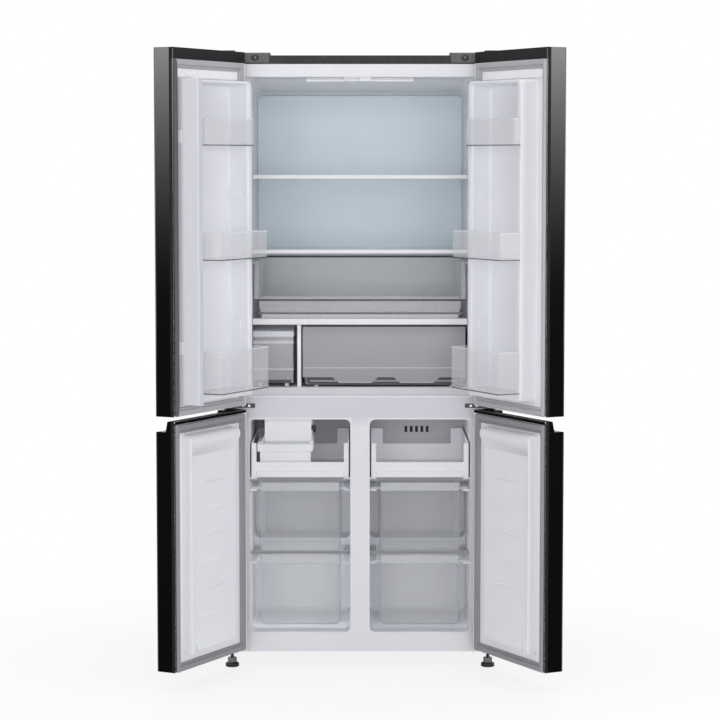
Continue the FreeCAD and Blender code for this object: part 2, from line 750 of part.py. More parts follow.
def lower_drawer():
    """Drawer on floor ribs, with two finger mouths along the bottom of its front."""
    x = lower_drawer_x()
    front_back = LOWER_DRAWER_FRONT + LOWER_FRONT_THICKNESS
    front_z = from_to(FLOOR_SEAT + LOWER_FRONT_LIFT, LOWER_DRAWER_HEIGHT)
    front = block(x, (LOWER_DRAWER_FRONT, front_back), front_z)
    corners = [e for e in front.Edges if runs_along_y(e, front_z[0])]
    front = front.makeFillet(LOWER_CORNER, corners)
    for start in MOUTH_STARTS:
        mouth_x = from_to(x[0] + start, MOUTH_LENGTH)
        mouth_y = from_to(LOWER_DRAWER_FRONT, MOUTH_DEPTH)
        front = front.cut(block(mouth_x, mouth_y, from_to(front_z[0], MOUTH_HEIGHT)))
    body_y = (front_back, LOWER_DRAWER_FRONT + LOWER_DRAWER_DEPTH)
    body_z = (FLOOR_SEAT, front_z[1] - LOWER_FRONT_LIFT)
    body = tub(grown(x, -LOWER_FRONT_MARGIN), body_y, body_z, DRAWER_WALL)
    return joined([front, body])


def runs_along_y(edge, z):
    """True for an edge along Y at the given height."""
    first = edge.Vertexes[0].Point
    last = edge.Vertexes[-1].Point
    along_y = abs(first.x - last.x) < 0.01 and abs(first.z - last.z) < 0.01
    return along_y and abs(first.z - z) < 0.01


def water_tank():
    """Tank and the lid that closes it."""
    x = tank_x()
    y = from_to(TANK_FRONT, TANK_DEPTH)
    bottom = FRIDGE_FLOOR + TANK_LIFT
    tank = tub(x, y, from_to(bottom, TANK_HEIGHT), TANK_WALL)
    top = bottom + TANK_HEIGHT
    lid = block(x, y, from_to(top, TANK_LID))
    plug = block(grown(x, -TANK_WALL), grown(y, -TANK_WALL), (top - TANK_LIP, top))
    hollow_z = (top - TANK_LIP, top + TANK_LID - TANK_WALL)
    hollow = block(grown(x, -2 * TANK_WALL), grown(y, -2 * TANK_WALL), hollow_z)
    return [tank, joined([lid, plug]).cut(hollow)]


# Freezer trays, drawers and ice maker, made for the right side

def freezer_rim_x():
    return grown(FREEZER_X, -FREEZER_SIDE_CLEAR)


def top_tray():
    """Opaque tray with a wide cut-out in its front and in its back."""
    x = freezer_rim_x()
    y = (FREEZER_FRONT, drawer_back(TRAY_Z))
    top = TRAY_Z + TRAY_HEIGHT
    tray = tub(x, y, (TRAY_Z, top), DRAWER_WALL)
    window_z = (TRAY_Z + TRAY_SILL, top)
    tray = tray.cut(block(grown(x, -TRAY_POST), from_to(FREEZER_FRONT, DRAWER_WALL), window_z))
    tray = tray.cut(block(grown(x, -TRAY_BACK_POST), (y[1] - DRAWER_WALL, y[1]), (TRAY_Z + TRAY_BACK, top)))
    lip = block(grown(x, -TRAY_POST), (FREEZER_FRONT - DRAWER_WALL, FREEZER_FRONT), from_to(TRAY_Z, TRAY_LIP))
    return joined([tray, lip])


def clear_drawer(bottom, height):
    """Clear drawer whose side rims ride on the runners, with a thicker band along the top of its front."""
    rim_x = freezer_rim_x()
    x = grown(rim_x, -DRAWER_SIDE)
    y = (FREEZER_FRONT + BAND_THICKNESS, drawer_back(bottom))
    top = bottom + height
    body = tub(x, y, (bottom, top), DRAWER_WALL)
    under = rim_bottom(bottom, height)
    rims = block(rim_x, y, from_to(under, RIM_THICKNESS)).cut(block(x, y, (bottom, top)))
    band = block(grown(rim_x, -BAND_INSET), (FREEZER_FRONT, y[0]), (top - DRAWER_BAND, top))
    bar = block(rim_x, (FREEZER_FRONT, y[0]), (under, top - RIM_DROP))
    return joined([body, band, bar] + rims.Solids)


def ice_maker():
    """Housing under the left freezer's ceiling, open below."""
    y = from_to(ICE_MAKER_FRONT, ICE_MAKER_DEPTH)
    z = (FREEZER_CEILING - ICE_MAKER_HEIGHT, FREEZER_CEILING)
    hollow = block(grown(ICE_MAKER_X, -ICE_WALL), grown(y, -ICE_WALL), (z[0], z[1] - ICE_WALL))
    return block(ICE_MAKER_X, y, z).cut(hollow)


def ice_bin():
    """Bin that stands in the left tray, with a band round its top."""
    floor = TRAY_Z + DRAWER_WALL
    y = from_to(FREEZER_FRONT + DRAWER_WALL + ICE_BIN_FRONT_GAP, ICE_BIN_DEPTH)
    top = floor + ICE_BIN_HEIGHT
    body = tub(ICE_BIN_X, y, (floor, top), DRAWER_WALL)
    band = block(grown(ICE_BIN_X, ICE_BIN_FLANGE), grown(y, DRAWER_WALL), (top - ICE_BIN_BAND, top))
    return joined([body, band.cut(block(ICE_BIN_X, y, (floor, top)))])


# Doors, made for the left side in the closed place. u runs from the hinge side, h back from the inner face

def door_block(u, h, z):
    return block((u[0] - HALF, u[1] - HALF), (h[0] - DOOR_GAP, h[1] - DOOR_GAP), z)


def door_rod(radius, u, h, z):
    return rod(radius, Vector(u - HALF, h - DOOR_GAP, z[0]), Vector(u - HALF, h - DOOR_GAP, z[1]))


def hung(shape, side):
    """Open a door's piece about its hinge pin, and mirror it for the right side."""
    turned = shape.copy()
    turned.rotate(Vector(PIN_X, PIN_Y, 0), UP, -OPEN_ANGLE)
    return turned if side == "left" else mirrored(turned)


def pin_bore(z):
    return door_rod(PIN_RADIUS + RUNNING_FIT, PIN_INSET, -PIN_SETBACK, z)


def ring(u, h, z, wall_u, wall_z):
    """Frame with bars of the given widths: hinge and free side, then bottom and top."""
    inside = door_block((u[0] + wall_u[0], u[1] - wall_u[1]), h, (z[0] + wall_z[0], z[1] - wall_z[1]))
    return door_block(u, h, z).cut(inside)


def gasket(z):
    u = (GASKET_INSET, DOOR_WIDTH - GASKET_EDGE)
    h = (0, DOOR_GAP - GASKET_CLEAR)
    return ring(u, h, z, (GASKET_WIDTH, GASKET_FREE_WIDTH), (GASKET_WIDTH, GASKET_WIDTH))


def side_trims(z):
    depth = (DOOR_BACK, -LINER)
    return [door_block((0, SIDE_TRIM), depth, z), door_block((DOOR_WIDTH - SIDE_TRIM, DOOR_WIDTH), depth, z)]


def upper_caps():
    """End caps of an upper door, bored for the hinge pins. The top one reaches the inner face."""
    bore_depth = PIN_LENGTH + TOP_CLEAR
    low = (UPPER_DOOR_BOTTOM, UPPER_DOOR_BOTTOM + CAP_HEIGHT)
    high = (UPPER_DOOR_TOP - CAP_HEIGHT, UPPER_DOOR_TOP)
    bottom = door_block((0, DOOR_WIDTH), (DOOR_BACK, -LINER), low)
    top = door_block((0, DOOR_WIDTH), (DOOR_BACK, 0), high)
    bottom = bottom.cut(pin_bore(from_to(low[0], bore_depth)))
    top = top.cut(pin_bore((high[1] - bore_depth, high[1])))
    return [bottom, top, *side_trims((low[1], high[0]))]


def lower_caps():
    """End caps of a lower door. The top one has the finger step, which stops short of the hinge."""
    bore_depth = PIN_LENGTH + TOP_CLEAR
    low = (LOWER_DOOR_BOTTOM, LOWER_DOOR_BOTTOM + CAP_HEIGHT)
    step = LOWER_DOOR_TOP - GRIP_HEIGHT
    high = (step - CAP_HEIGHT, LOWER_DOOR_TOP)
    bottom = door_block((0, DOOR_WIDTH), (DOOR_BACK, -LINER), low)
    top = door_block((0, DOOR_WIDTH), (DOOR_BACK, -LINER), high)
    corner = door_block((0, GRIP_START), (-DOOR_THICKNESS, DOOR_BACK), (step, LOWER_DOOR_TOP))
    grip = prism_yz(
        [
            (DOOR_BACK - DOOR_GAP, step),
            (-GRIP_BACK - DOOR_GAP, step),
            (GRIP_SLANT - GRIP_BACK - DOOR_GAP, LOWER_DOOR_TOP),
            (DOOR_BACK - DOOR_GAP, LOWER_DOOR_TOP),
        ],
        (GRIP_START - HALF, DOOR_WIDTH - HALF),
    )
    bottom = bottom.cut(pin_bore(from_to(low[0], bore_depth)))
    top = joined([top.cut(grip), corner]).cut(pin_bore((high[1] - bore_depth, high[1])))
    return [bottom, top, *side_trims((low[1], high[0]))]


def door_prism(points, z):
    """Outline across and into the door, drawn out upwards."""
    corners = [Vector(u - HALF, h - DOOR_GAP, z[0]) for u, h in points]
    face = Part.Face(Part.makePolygon(corners + corners[:1]))
    return face.extrude(Vector(0, 0, z[1] - z[0]))


def dyke_face(u):
    """Height of the ring's sloping face at a place across the door."""
    return DYKE_HEIGHT + DYKE_RISE * (DYKE_U[1] - u) / (DYKE_U[1] - DYKE_U[0])


def under_dyke_face(u, z, cover=0.0):
    """Bar from the flange up to the ring's sloping face, less a cover."""
    face = [(place, dyke_face(place) - cover) for place in reversed(u)]
    return door_prism([(u[0], -LINER), (u[1], -LINER)] + face, z)


def dyke_ring():
    """Raised ring round the bins, with a slimmer bar at the top and a face that rises to the hinge side."""
    inside = under_dyke_face(grown(DYKE_U, -DYKE_WALL), (DYKE_Z[0] + DYKE_WALL, DYKE_Z[1] - DYKE_TOP_WALL))
    return under_dyke_face(DYKE_U, DYKE_Z).cut(inside)


def dyke_foam():
    """Foam in the ring, as four straight bars."""
    u = grown(DYKE_U, -LINER)
    z = grown(DYKE_Z, -LINER)
    wall = DYKE_WALL - 2 * LINER
    top_wall = DYKE_TOP_WALL - 2 * LINER
    middle = grown(u, -wall)
    return [
        under_dyke_face(from_to(u[0], wall), z, LINER),
        under_dyke_face((u[1] - wall, u[1]), z, LINER),
        under_dyke_face(middle, from_to(z[0], wall), LINER),
        under_dyke_face(middle, (z[1] - top_wall, z[1]), LINER),
    ]


def flap_lugs():
    """Lugs moulded on the left door's liner that carry the flap's pins."""
    pieces = []
    for z in lug_levels():
        u = about(PIVOT_U, 2 * LUG_RADIUS)
        arm = door_block(u, (-LINER, FLAP_PIVOT_HEIGHT), z)
        knuckle = door_rod(LUG_RADIUS, PIVOT_U, FLAP_PIVOT_HEIGHT, z)
        pin = door_rod(FLAP_PIN_RADIUS, PIVOT_U, FLAP_PIVOT_HEIGHT, grown(z, LUG_HEIGHT / 2))
        pieces.append(joined([arm, knuckle, pin]))
    return pieces


def lug_levels():
    low = from_to(FLAP_Z[0] + LUG_END, LUG_HEIGHT)
    high = (FLAP_Z[1] - LUG_END - LUG_HEIGHT, FLAP_Z[1] - LUG_END)
    return [low, high]


def flap():
    """Flap folded back against the door, notched for its lugs, with a guide pin on top."""
    face = DOOR_WIDTH - FLAP_FACE_INSET
    u = (face - FLAP_THICKNESS, face)
    bar = door_block(u, from_to(FLAP_FOOT, FLAP_WIDTH), FLAP_Z)
    for z in lug_levels():
        notch_end = FLAP_PIVOT_HEIGHT + LUG_RADIUS * math.sqrt(2) + LUG_CLEAR
        bar = bar.cut(door_block(u, (FLAP_FOOT, notch_end), grown(z, LUG_CLEAR)))
        pin_room = grown(z, LUG_HEIGHT / 2 + LUG_CLEAR)
        bar = bar.cut(door_rod(FLAP_PIN_RADIUS + RUNNING_FIT, PIVOT_U, FLAP_PIVOT_HEIGHT, pin_room))
    pin_h = FLAP_PIVOT_HEIGHT + GUIDE_PIN_OFFSET
    guide = door_rod(GUIDE_PIN_RADIUS, guide_pin_u(), pin_h, from_to(FLAP_Z[1], GUIDE_PIN_HEIGHT))
    return joined([bar, guide])


def upper_liner(side):
    """Inner liner of an upper door: a flat flange with the raised ring; the left one has the flap's lugs."""
    flange = door_block((0, DOOR_WIDTH), (-LINER, 0), (UPPER_DOOR_BOTTOM, UPPER_DOOR_TOP - CAP_HEIGHT))
    pieces = [flange, dyke_ring()]
    if side == "left":
        pieces += flap_lugs()
    return joined(pieces).cut(Part.makeCompound(dyke_foam()))


def bin_plan(inner, outer, back, gap, front):
    """Plan of a bin: narrow between the ring's bars, then wider past a gap over their sloping faces."""
    free = [(u, dyke_face(u) + gap) for u in (inner[1], outer[1])]
    hinge = [(u, dyke_face(u) + gap) for u in (outer[0], inner[0])]
    return [(inner[0], back), (inner[1], back), *free, (outer[1], front), (outer[0], front), *hinge]


def door_bin(bottom, height, depth):
    """Bin with a narrow back between the ring's bars and a wider front over them."""
    wall = BIN_WALL
    inner = grown(DYKE_U, -DYKE_WALL)
    outer = grown(DYKE_U, -BIN_OVERLAP)
    outside = door_prism(bin_plan(inner, outer, BIN_BACK_GAP, 0, depth), from_to(bottom, height))
    room = bin_plan(grown(inner, -wall), grown(outer, -wall), BIN_BACK_GAP + wall, wall, depth - wall)
    return outside.cut(door_prism(room, (bottom + wall, bottom + height)))


def door_bins():
    return [
        door_bin(TOP_BIN_Z, TOP_BIN_HEIGHT, TOP_BIN_DEPTH),
        door_bin(MIDDLE_BIN_Z, MIDDLE_BIN_HEIGHT, MIDDLE_BIN_DEPTH),
        door_bin(BOTTOM_BIN_Z, BOTTOM_BIN_HEIGHT, BOTTOM_BIN_DEPTH),
    ]


def panel_u():
    return (HALF - FREEZER_X[1] + PANEL_SIDE_CLEAR, HALF - FREEZER_X[0] - PANEL_SIDE_CLEAR)


def panel_z():
    return grown((FREEZER_FLOOR, FREEZER_CEILING), -PANEL_END_CLEAR)


def panel_foam():
    """Foam behind the raised panel of a lower door, up to the floor of its recess."""
    depth = (-LINER, PANEL_HEIGHT - PANEL_RECESS - LINER)
    return door_block(grown(panel_u(), -LINER), depth, grown(panel_z(), -LINER))


def lower_liner():
    """Inner liner of a lower door: a raised panel, higher along its top and free side, with ribs and pad."""
    flange = door_block((0, DOOR_WIDTH), (-LINER, 0), (LOWER_DOOR_BOTTOM, LOWER_DOOR_TOP))
    raised = door_block(panel_u(), (-LINER, PANEL_HEIGHT), panel_z())
    u = panel_u()
    z = panel_z()
    bed = PANEL_HEIGHT - PANEL_RECESS
    ledge = z[1] - PANEL_LEDGE
    face_y = PANEL_HEIGHT - DOOR_GAP
    bed_y = bed - DOOR_GAP
    recess = prism_yz(
        [(face_y, z[0]), (bed_y, z[0]), (bed_y, ledge - PANEL_SLOPE), (face_y, ledge)],
        (u[0] - HALF, u[1] - PANEL_RIM - HALF),
    )
    pad_z = from_to(z[0] + PAD_END, PAD_HEIGHT)
    bumps = [door_block(from_to(PAD_INSET, PAD_LENGTH), from_to(bed, PAD_RISE), pad_z)]
    for row in range(RIB_COUNT):
        level = about(RIB_LOWEST + row * RIB_PITCH, RIB_SIZE)
        bumps.append(door_block(from_to(RIB_INSET, RIB_LENGTH), from_to(bed, RIB_SIZE), level))
    return joined([joined([flange, raised]).cut(recess)] + bumps).cut(panel_foam())


def save_door(name, side, bottom, top, glass_top, caps, liner, foam_top, extra_foam):
    """Write the pieces that every door has."""
    slab = door_block(
        (SIDE_TRIM, DOOR_WIDTH - SIDE_TRIM),
        (DOOR_BACK, -LINER),
        (bottom + CAP_HEIGHT, foam_top),
    )
    front = door_block((0, DOOR_WIDTH), (-DOOR_THICKNESS, DOOR_BACK), (bottom, glass_top))
    save(f"{name}_front_panel", hung(front, side))
    save(f"{name}_trims_and_caps", *[hung(cap, side) for cap in caps])
    save(f"{name}_foam", *[hung(piece, side) for piece in [slab] + extra_foam])
    save(f"{name}_liner", hung(liner, side))
    save(f"{name}_gasket", hung(gasket((bottom + GASKET_EDGE, top)), side))


def save_doors():
    upper_gasket_top = UPPER_DOOR_TOP - CAP_HEIGHT
    lower_step = LOWER_DOOR_TOP - GRIP_HEIGHT
    for side in ("left", "right"):
        save_door(
            f"upper_{side}_door", side, UPPER_DOOR_BOTTOM, upper_gasket_top, UPPER_DOOR_TOP,
            upper_caps(), upper_liner(side), UPPER_DOOR_TOP - CAP_HEIGHT, dyke_foam(),
        )
        save(f"upper_{side}_door_bins", *[hung(piece, side) for piece in door_bins()])
        save_door(
            f"lower_{side}_door", side, LOWER_DOOR_BOTTOM, LOWER_DOOR_TOP - GASKET_EDGE, lower_step,
            lower_caps(), lower_liner(), lower_step - CAP_HEIGHT, [panel_foam()],
        )
    save("centre_flap", hung(flap(), "left"))


# Hinges, covers and screws, made for the left side

def hinge_arm(z):
    """Level arm of a bracket from the cabinet out past the pin."""
    x = about(PIN_X, BRACKET_ARM)
    return block(x, (PIN_Y - ARM_END, 0), z)


def hinge_pin(z):
    return rod(PIN_RADIUS, Vector(PIN_X, PIN_Y, z[0]), Vector(PIN_X, PIN_Y, z[1]))


def bracket_wall(z):
    x = from_to(HINGE_SIDE - HALF, BRACKET_REACH)
    return block(x, (-BRACKET_WALL, 0), z)


def top_bracket_z():
    return from_to(UPPER_DOOR_TOP + TOP_CLEAR, TOP_PLATE)


def top_bracket():
    """Plate screwed on the roof that steps up over the door and carries the top pin."""
    plate_z = top_bracket_z()
    x = about(PIN_X, BRACKET_ARM)
    foot_x = from_to(x[0], HINGE_COVER_LENGTH - HINGE_SIDE)
    foot = block(foot_x, (0, TOP_REACH), from_to(CABINET_TOP, TOP_PLATE))
    riser = block(x, (0, TOP_PLATE), (CABINET_TOP, plate_z[1]))
    pin = hinge_pin((UPPER_DOOR_TOP - PIN_LENGTH, plate_z[1]))
    return joined([foot, riser, hinge_arm(plate_z), pin])


def middle_bracket():
    plate_z = about(HINGE_GAP_MIDDLE, BRACKET_PLATE)
    pin = hinge_pin((LOWER_DOOR_TOP - PIN_LENGTH, UPPER_DOOR_BOTTOM + PIN_LENGTH))
    return joined([bracket_wall(about(HINGE_GAP_MIDDLE, BRACKET_HEIGHT)), hinge_arm(plate_z), pin])


def bottom_bracket():
    """Bracket under the lower door, bored for the stem of the front foot."""
    plate_z = (BOTTOM_PLATE_TOP - BRACKET_PLATE, BOTTOM_PLATE_TOP)
    wall = bracket_wall((CABINET_BOTTOM, CABINET_BOTTOM + BRACKET_HEIGHT))
    pin = hinge_pin((plate_z[0], LOWER_DOOR_BOTTOM + PIN_LENGTH))
    foot_low = Vector(PIN_X, -FOOT_SETBACK, 0)
    foot_high = Vector(PIN_X, -FOOT_SETBACK, CABINET_TOP)
    hole = rod(STEM_RADIUS + RUNNING_FIT, foot_low, foot_high)
    return joined([wall, hinge_arm(plate_z), pin]).cut(hole)


def cover_x():
    return from_to(HINGE_SIDE - HALF, HINGE_COVER_LENGTH)


def hinge_cover():
    """Cap over the top bracket's foot, open below, with a slot for the riser."""
    y = (TOP_PLATE, TOP_REACH + 2 * COVER_WALL)
    z = from_to(CABINET_TOP, HINGE_COVER_HEIGHT)
    hollow = block(grown(cover_x(), -COVER_WALL), grown(y, -COVER_WALL), (z[0], z[1] - COVER_WALL))
    return block(cover_x(), y, z).cut(hollow).cut(top_bracket())


def screw(point, way):
    """Pan head that seats on a bracket."""
    return rod(SCREW_RADIUS, point, point + way * SCREW_HEAD)


def hinge_screws():
    roof = CABINET_TOP + TOP_PLATE
    start = about(PIN_X, BRACKET_ARM)[0]
    spots = [start + HINGE_COVER_LENGTH * part / 4 for part in (1, 2, 3)]
    heads = [screw(Vector(x, TOP_REACH / 2, roof), UP) for x in spots]
    arm_end = PIN_X + BRACKET_ARM / 2
    wall_end = HINGE_SIDE - HALF + BRACKET_REACH
    for level in (HINGE_GAP_MIDDLE, CABINET_BOTTOM + BRACKET_HEIGHT / 2):
        for part in (1, 2):
            x = arm_end + (wall_end - arm_end) * part / 3
            heads.append(screw(Vector(x, -BRACKET_WALL, level), Vector(0, -1, 0)))
    return [head for one in heads for head in both_sides(one)]


# Feet and rollers

def front_foot():
    """Levelling foot whose stem turns in the bottom bracket."""
    middle = Vector(PIN_X, -FOOT_SETBACK, 0)
    pad = rod(FOOT_RADIUS, middle, middle + UP * FOOT_PAD)
    nut = rod(FOOT_NUT_RADIUS, middle + UP * FOOT_PAD, middle + UP * (FOOT_PAD + FOOT_NUT))
    stem = rod(STEM_RADIUS, middle, middle + UP * (BOTTOM_PLATE_TOP + STEM_END))
    return joined([pad, nut, stem])


def roller(side):
    axle_y = CABINET_DEPTH - ROLLER_SETBACK
    start = Vector(roller_x(side) - ROLLER_WIDTH / 2, axle_y, ROLLER_RADIUS)
    end = start + Vector(ROLLER_WIDTH, 0, 0)
    return rod(ROLLER_RADIUS, start, end).cut(rod(AXLE_RADIUS + RUNNING_FIT, start, end))


# Cooling machinery

def evaporator():
    """Fins on a tube that winds up the chamber; the end fins stand against the back wall."""
    back = FREEZER_DEPTH
    z = from_to(EVAPORATOR_Z, EVAPORATOR_HEIGHT)
    y = (back - EVAPORATOR_DEPTH, back)
    pitch = (EVAPORATOR_WIDTH - FIN_THICKNESS) / (FIN_COUNT - 1)
    left = -EVAPORATOR_WIDTH / 2
    pieces = [block(from_to(left + i * pitch, FIN_THICKNESS), y, z) for i in range(FIN_COUNT)]
    row_pitch = EVAPORATOR_HEIGHT / TUBE_ROWS
    middle = (y[0] + y[1]) / 2
    bottom = EVAPORATOR_Z + row_pitch / 2
    pieces.append(serpentine(left - row_pitch, -left + row_pitch, middle, bottom, row_pitch, TUBE_ROWS))
    return joined(pieces)


def serpentine(left, right, y, bottom, pitch, runs):
    """Tube of level runs along X joined by half turns."""
    edges = []
    for run in range(runs):
        z = bottom + run * pitch
        ends = (left, right) if run % 2 == 0 else (right, left)
        start = Vector(ends[0], y, z)
        end = Vector(ends[1], y, z)
        edges.append(Part.makeLine(start, end))
        if run + 1 < runs:
            bulge = pitch / 2 if ends[1] == right else -pitch / 2
            turn = Part.Arc(end, end + Vector(bulge, 0, pitch / 2), end + Vector(0, 0, pitch))
            edges.append(turn.toShape())
    path = Part.Wire(edges)
    circle = Part.Wire(Part.makeCircle(TUBE_RADIUS, Vector(left, y, bottom), Vector(1, 0, 0)))
    return path.makePipeShell([circle], True, False)


def fan(middle, way):
    """Hub with pitched blades, bored for its motor's shaft. The middle is the hub's rear end."""
    hub = rod(FAN_HUB, middle, middle + way * FAN_DEPTH)
    across = way.cross(UP)
    blades = []
    for number in range(BLADE_COUNT):
        blade = Part.makeBox(FAN_RADIUS - FAN_HUB / 2, BLADE_THICKNESS, FAN_DEPTH)
        blade.translate(Vector(FAN_HUB / 2, -BLADE_THICKNESS / 2, -FAN_DEPTH / 2))
        blade.rotate(Vector(0, 0, 0), Vector(1, 0, 0), BLADE_PITCH)
        blade.rotate(Vector(0, 0, 0), UP, 360.0 * number / BLADE_COUNT)
        blades.append(blade)
    for blade in blades:
        turn = FreeCAD.Placement(middle + way * (FAN_DEPTH / 2), FreeCAD.Rotation(UP, way))
        blade.Placement = turn * blade.Placement
    bore = rod(SHAFT_RADIUS + RUNNING_FIT, middle, middle + way * FAN_DEPTH)
    return joined([hub] + blades).cut(bore)


def motor(base, way):
    """Motor that stands on a flange at the base, with its shaft."""
    flange = rod(MOTOR_RADIUS + MOTOR_FLANGE * 2, base, base + way * MOTOR_FLANGE)
    body = rod(MOTOR_RADIUS, base, base + way * MOTOR_LENGTH)
    shaft = rod(SHAFT_RADIUS, base, base + way * (MOTOR_LENGTH + SHAFT_END + FAN_DEPTH))
    return joined([flange, body, shaft])


def evaporator_motor_base():
    return Vector(0, FREEZER_DEPTH, FAN_Z)


def condenser_motor_base():
    return Vector(CONDENSER_FAN_X, MACHINE_MIDDLE, MACHINE_FLOOR + CONDENSER_FAN_RISE)


def fan_place(base, way):
    return base + way * (MOTOR_LENGTH + SHAFT_END)


def fan_motors():
    """Both fan motors. The condenser's one stands on a bracket and blows through a shroud."""
    forward = Vector(0, -1, 0)
    left = Vector(-1, 0, 0)
    base = condenser_motor_base()
    stand_x = from_to(base.x, MOTOR_FLANGE)
    stand = block(stand_x, about(base.y, MOTOR_RADIUS), (MACHINE_FLOOR, base.z))
    fan_middle = fan_place(base, left) + left * (FAN_DEPTH / 2)
    shroud_y = wide(FAN_RADIUS + 4 * FAN_GAP)
    shroud = block(
        about(fan_middle.x, MOTOR_FLANGE),
        (base.y + shroud_y[0], base.y + shroud_y[1]),
        (MACHINE_FLOOR, base.z + shroud_y[1]),
    )
    mouth = rod(FAN_RADIUS + FAN_GAP, fan_middle + left * FAN_DEPTH, fan_middle - left * FAN_DEPTH)
    return [motor(evaporator_motor_base(), forward), joined([motor(base, left), stand]), shroud.cut(mouth)]


def compressor():
    """Shell on a foot plate that stands on four grommets."""
    middle = Vector(COMPRESSOR_X, MACHINE_MIDDLE, MACHINE_FLOOR + GROMMET_HEIGHT)
    spread = FOOT_SPREAD / 2
    plate = block(
        about(middle.x, FOOT_SPREAD + 2 * GROMMET_RADIUS),
        about(middle.y, FOOT_SPREAD),
        from_to(middle.z, COMPRESSOR_FOOT),
    )
    shell_top = middle + UP * COMPRESSOR_BODY
    shell = rod(COMPRESSOR_RADIUS, middle, shell_top)
    dome = Part.makeCone(COMPRESSOR_RADIUS, COMPRESSOR_RADIUS / 2, COMPRESSOR_DOME, shell_top, UP)
    grommets = []
    for x in (-spread, spread):
        for y in (-spread / 2, spread / 2):
            foot = Vector(middle.x + x, middle.y + y, MACHINE_FLOOR)
            grommets.append(rod(GROMMET_RADIUS, foot, foot + UP * GROMMET_HEIGHT))
    return [joined([plate, shell, dome]), *grommets]


def condenser_coil():
    """Serpentine tube held by two posts on the machine plate."""
    bottom = MACHINE_FLOOR + COIL_LIFT
    end = COIL_X + COIL_LENGTH
    tube = serpentine(COIL_X, end, MACHINE_MIDDLE, bottom, COIL_PITCH, COIL_RUNS)
    top = bottom + (COIL_RUNS - 1) * COIL_PITCH + 2 * TUBE_RADIUS
    inset = COIL_LENGTH / 6
    posts = []
    for x in (COIL_X + inset, end - inset):
        posts.append(block(about(x, COIL_POST), about(MACHINE_MIDDLE, 4 * TUBE_RADIUS), (MACHINE_FLOOR, top)))
    return joined([tube] + posts)


def save_cabinet():
    panes, trims = zip(*shelves())
    brackets = [top_bracket(), middle_bracket(), bottom_bracket()]
    save("outer_case", *outer_case())
    save("front_frame", front_frame())
    save("back_panel", back_panel())
    save("base_pan", base_pan())
    save("machine_base", machine_base())
    save("machine_cover", machine_cover())
    save("cabinet_foam", *cabinet_foam())
    save("fridge_liner", fridge_liner())
    save("freezer_liner", freezer_liner())
    save("duct_covers", fridge_duct_panel(), *freezer_back_covers())
    save("flap_guide", flap_guide())
    save("ceiling_lamp", ceiling_lamp())
    save("shelf_glass", *panes)
    save("shelf_trims", *trims)
    save("drawer_partition", drawer_partition())
    save("ice_maker", ice_maker())
    save("hinge_brackets", *[piece for one in brackets for piece in both_sides(one)])
    save("hinge_covers", *both_sides(hinge_cover()))
    save("hinge_screws", *hinge_screws())
    save("evaporator", evaporator())
    save("fan_motors", *fan_motors())
    save("compressor", *compressor())
    save("condenser_coil", condenser_coil())


def save_movers():
    save("upper_crisper", upper_crisper())
    save("lower_drawer", lower_drawer())
    save("water_tank", *water_tank())
    save("right_top_tray", top_tray())
    save("left_top_tray", mirrored(top_tray()), ice_bin())
    levels = {
        "upper": clear_drawer(UPPER_DRAWER_Z, UPPER_DRAWER_HEIGHT),
        "lower": clear_drawer(LOWER_DRAWER_Z, LOWER_FREEZER_HEIGHT),
    }
    for level, drawer in levels.items():
        save(f"{level}_right_freezer_drawer", drawer)
        save(f"{level}_left_freezer_drawer", mirrored(drawer))
    save("left_front_foot", front_foot())
    save("right_front_foot", mirrored(front_foot()))
    save("rear_rollers", roller(-1), roller(1))
    forward = Vector(0, -1, 0)
    left = Vector(-1, 0, 0)
    save("evaporator_fan", fan(fan_place(evaporator_motor_base(), forward), forward))
    save("condenser_fan", fan(fan_place(condenser_motor_base(), left), left))


os.makedirs("parts", exist_ok=True)
save_cabinet()
save_doors()
save_movers()
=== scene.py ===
import json
import math

import bmesh
import bpy
from mathutils import Matrix, Vector

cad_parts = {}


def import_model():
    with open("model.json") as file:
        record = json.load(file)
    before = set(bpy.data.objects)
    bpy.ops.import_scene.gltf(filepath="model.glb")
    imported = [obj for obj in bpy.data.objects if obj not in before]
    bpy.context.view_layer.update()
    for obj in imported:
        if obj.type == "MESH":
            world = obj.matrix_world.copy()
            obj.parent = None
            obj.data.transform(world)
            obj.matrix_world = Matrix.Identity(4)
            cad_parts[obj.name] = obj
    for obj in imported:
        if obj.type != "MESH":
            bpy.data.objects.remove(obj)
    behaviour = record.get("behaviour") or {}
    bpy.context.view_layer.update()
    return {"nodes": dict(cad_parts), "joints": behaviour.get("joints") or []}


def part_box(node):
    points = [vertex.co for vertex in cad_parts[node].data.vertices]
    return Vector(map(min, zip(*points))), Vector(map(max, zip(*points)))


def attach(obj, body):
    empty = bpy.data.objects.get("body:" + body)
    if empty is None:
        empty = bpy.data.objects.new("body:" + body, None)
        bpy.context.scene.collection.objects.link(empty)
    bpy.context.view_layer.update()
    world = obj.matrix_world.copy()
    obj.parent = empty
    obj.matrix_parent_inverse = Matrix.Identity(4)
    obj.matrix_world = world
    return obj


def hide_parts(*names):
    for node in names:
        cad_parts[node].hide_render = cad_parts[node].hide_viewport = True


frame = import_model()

# Lengths below are millimetres, as on a drawing of the refrigerator. d is the depth behind the cabinet's
# front face. at() turns x, d and z into a point of the frame, in metres.
MM = 0.001
NODES = frame["nodes"]
JOINTS = {joint["name"]: joint for joint in frame["joints"]}
CASE_LOW, CASE_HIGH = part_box("outer_case")
HALF = CASE_HIGH.x / MM
FRONT_Y = CASE_LOW.y

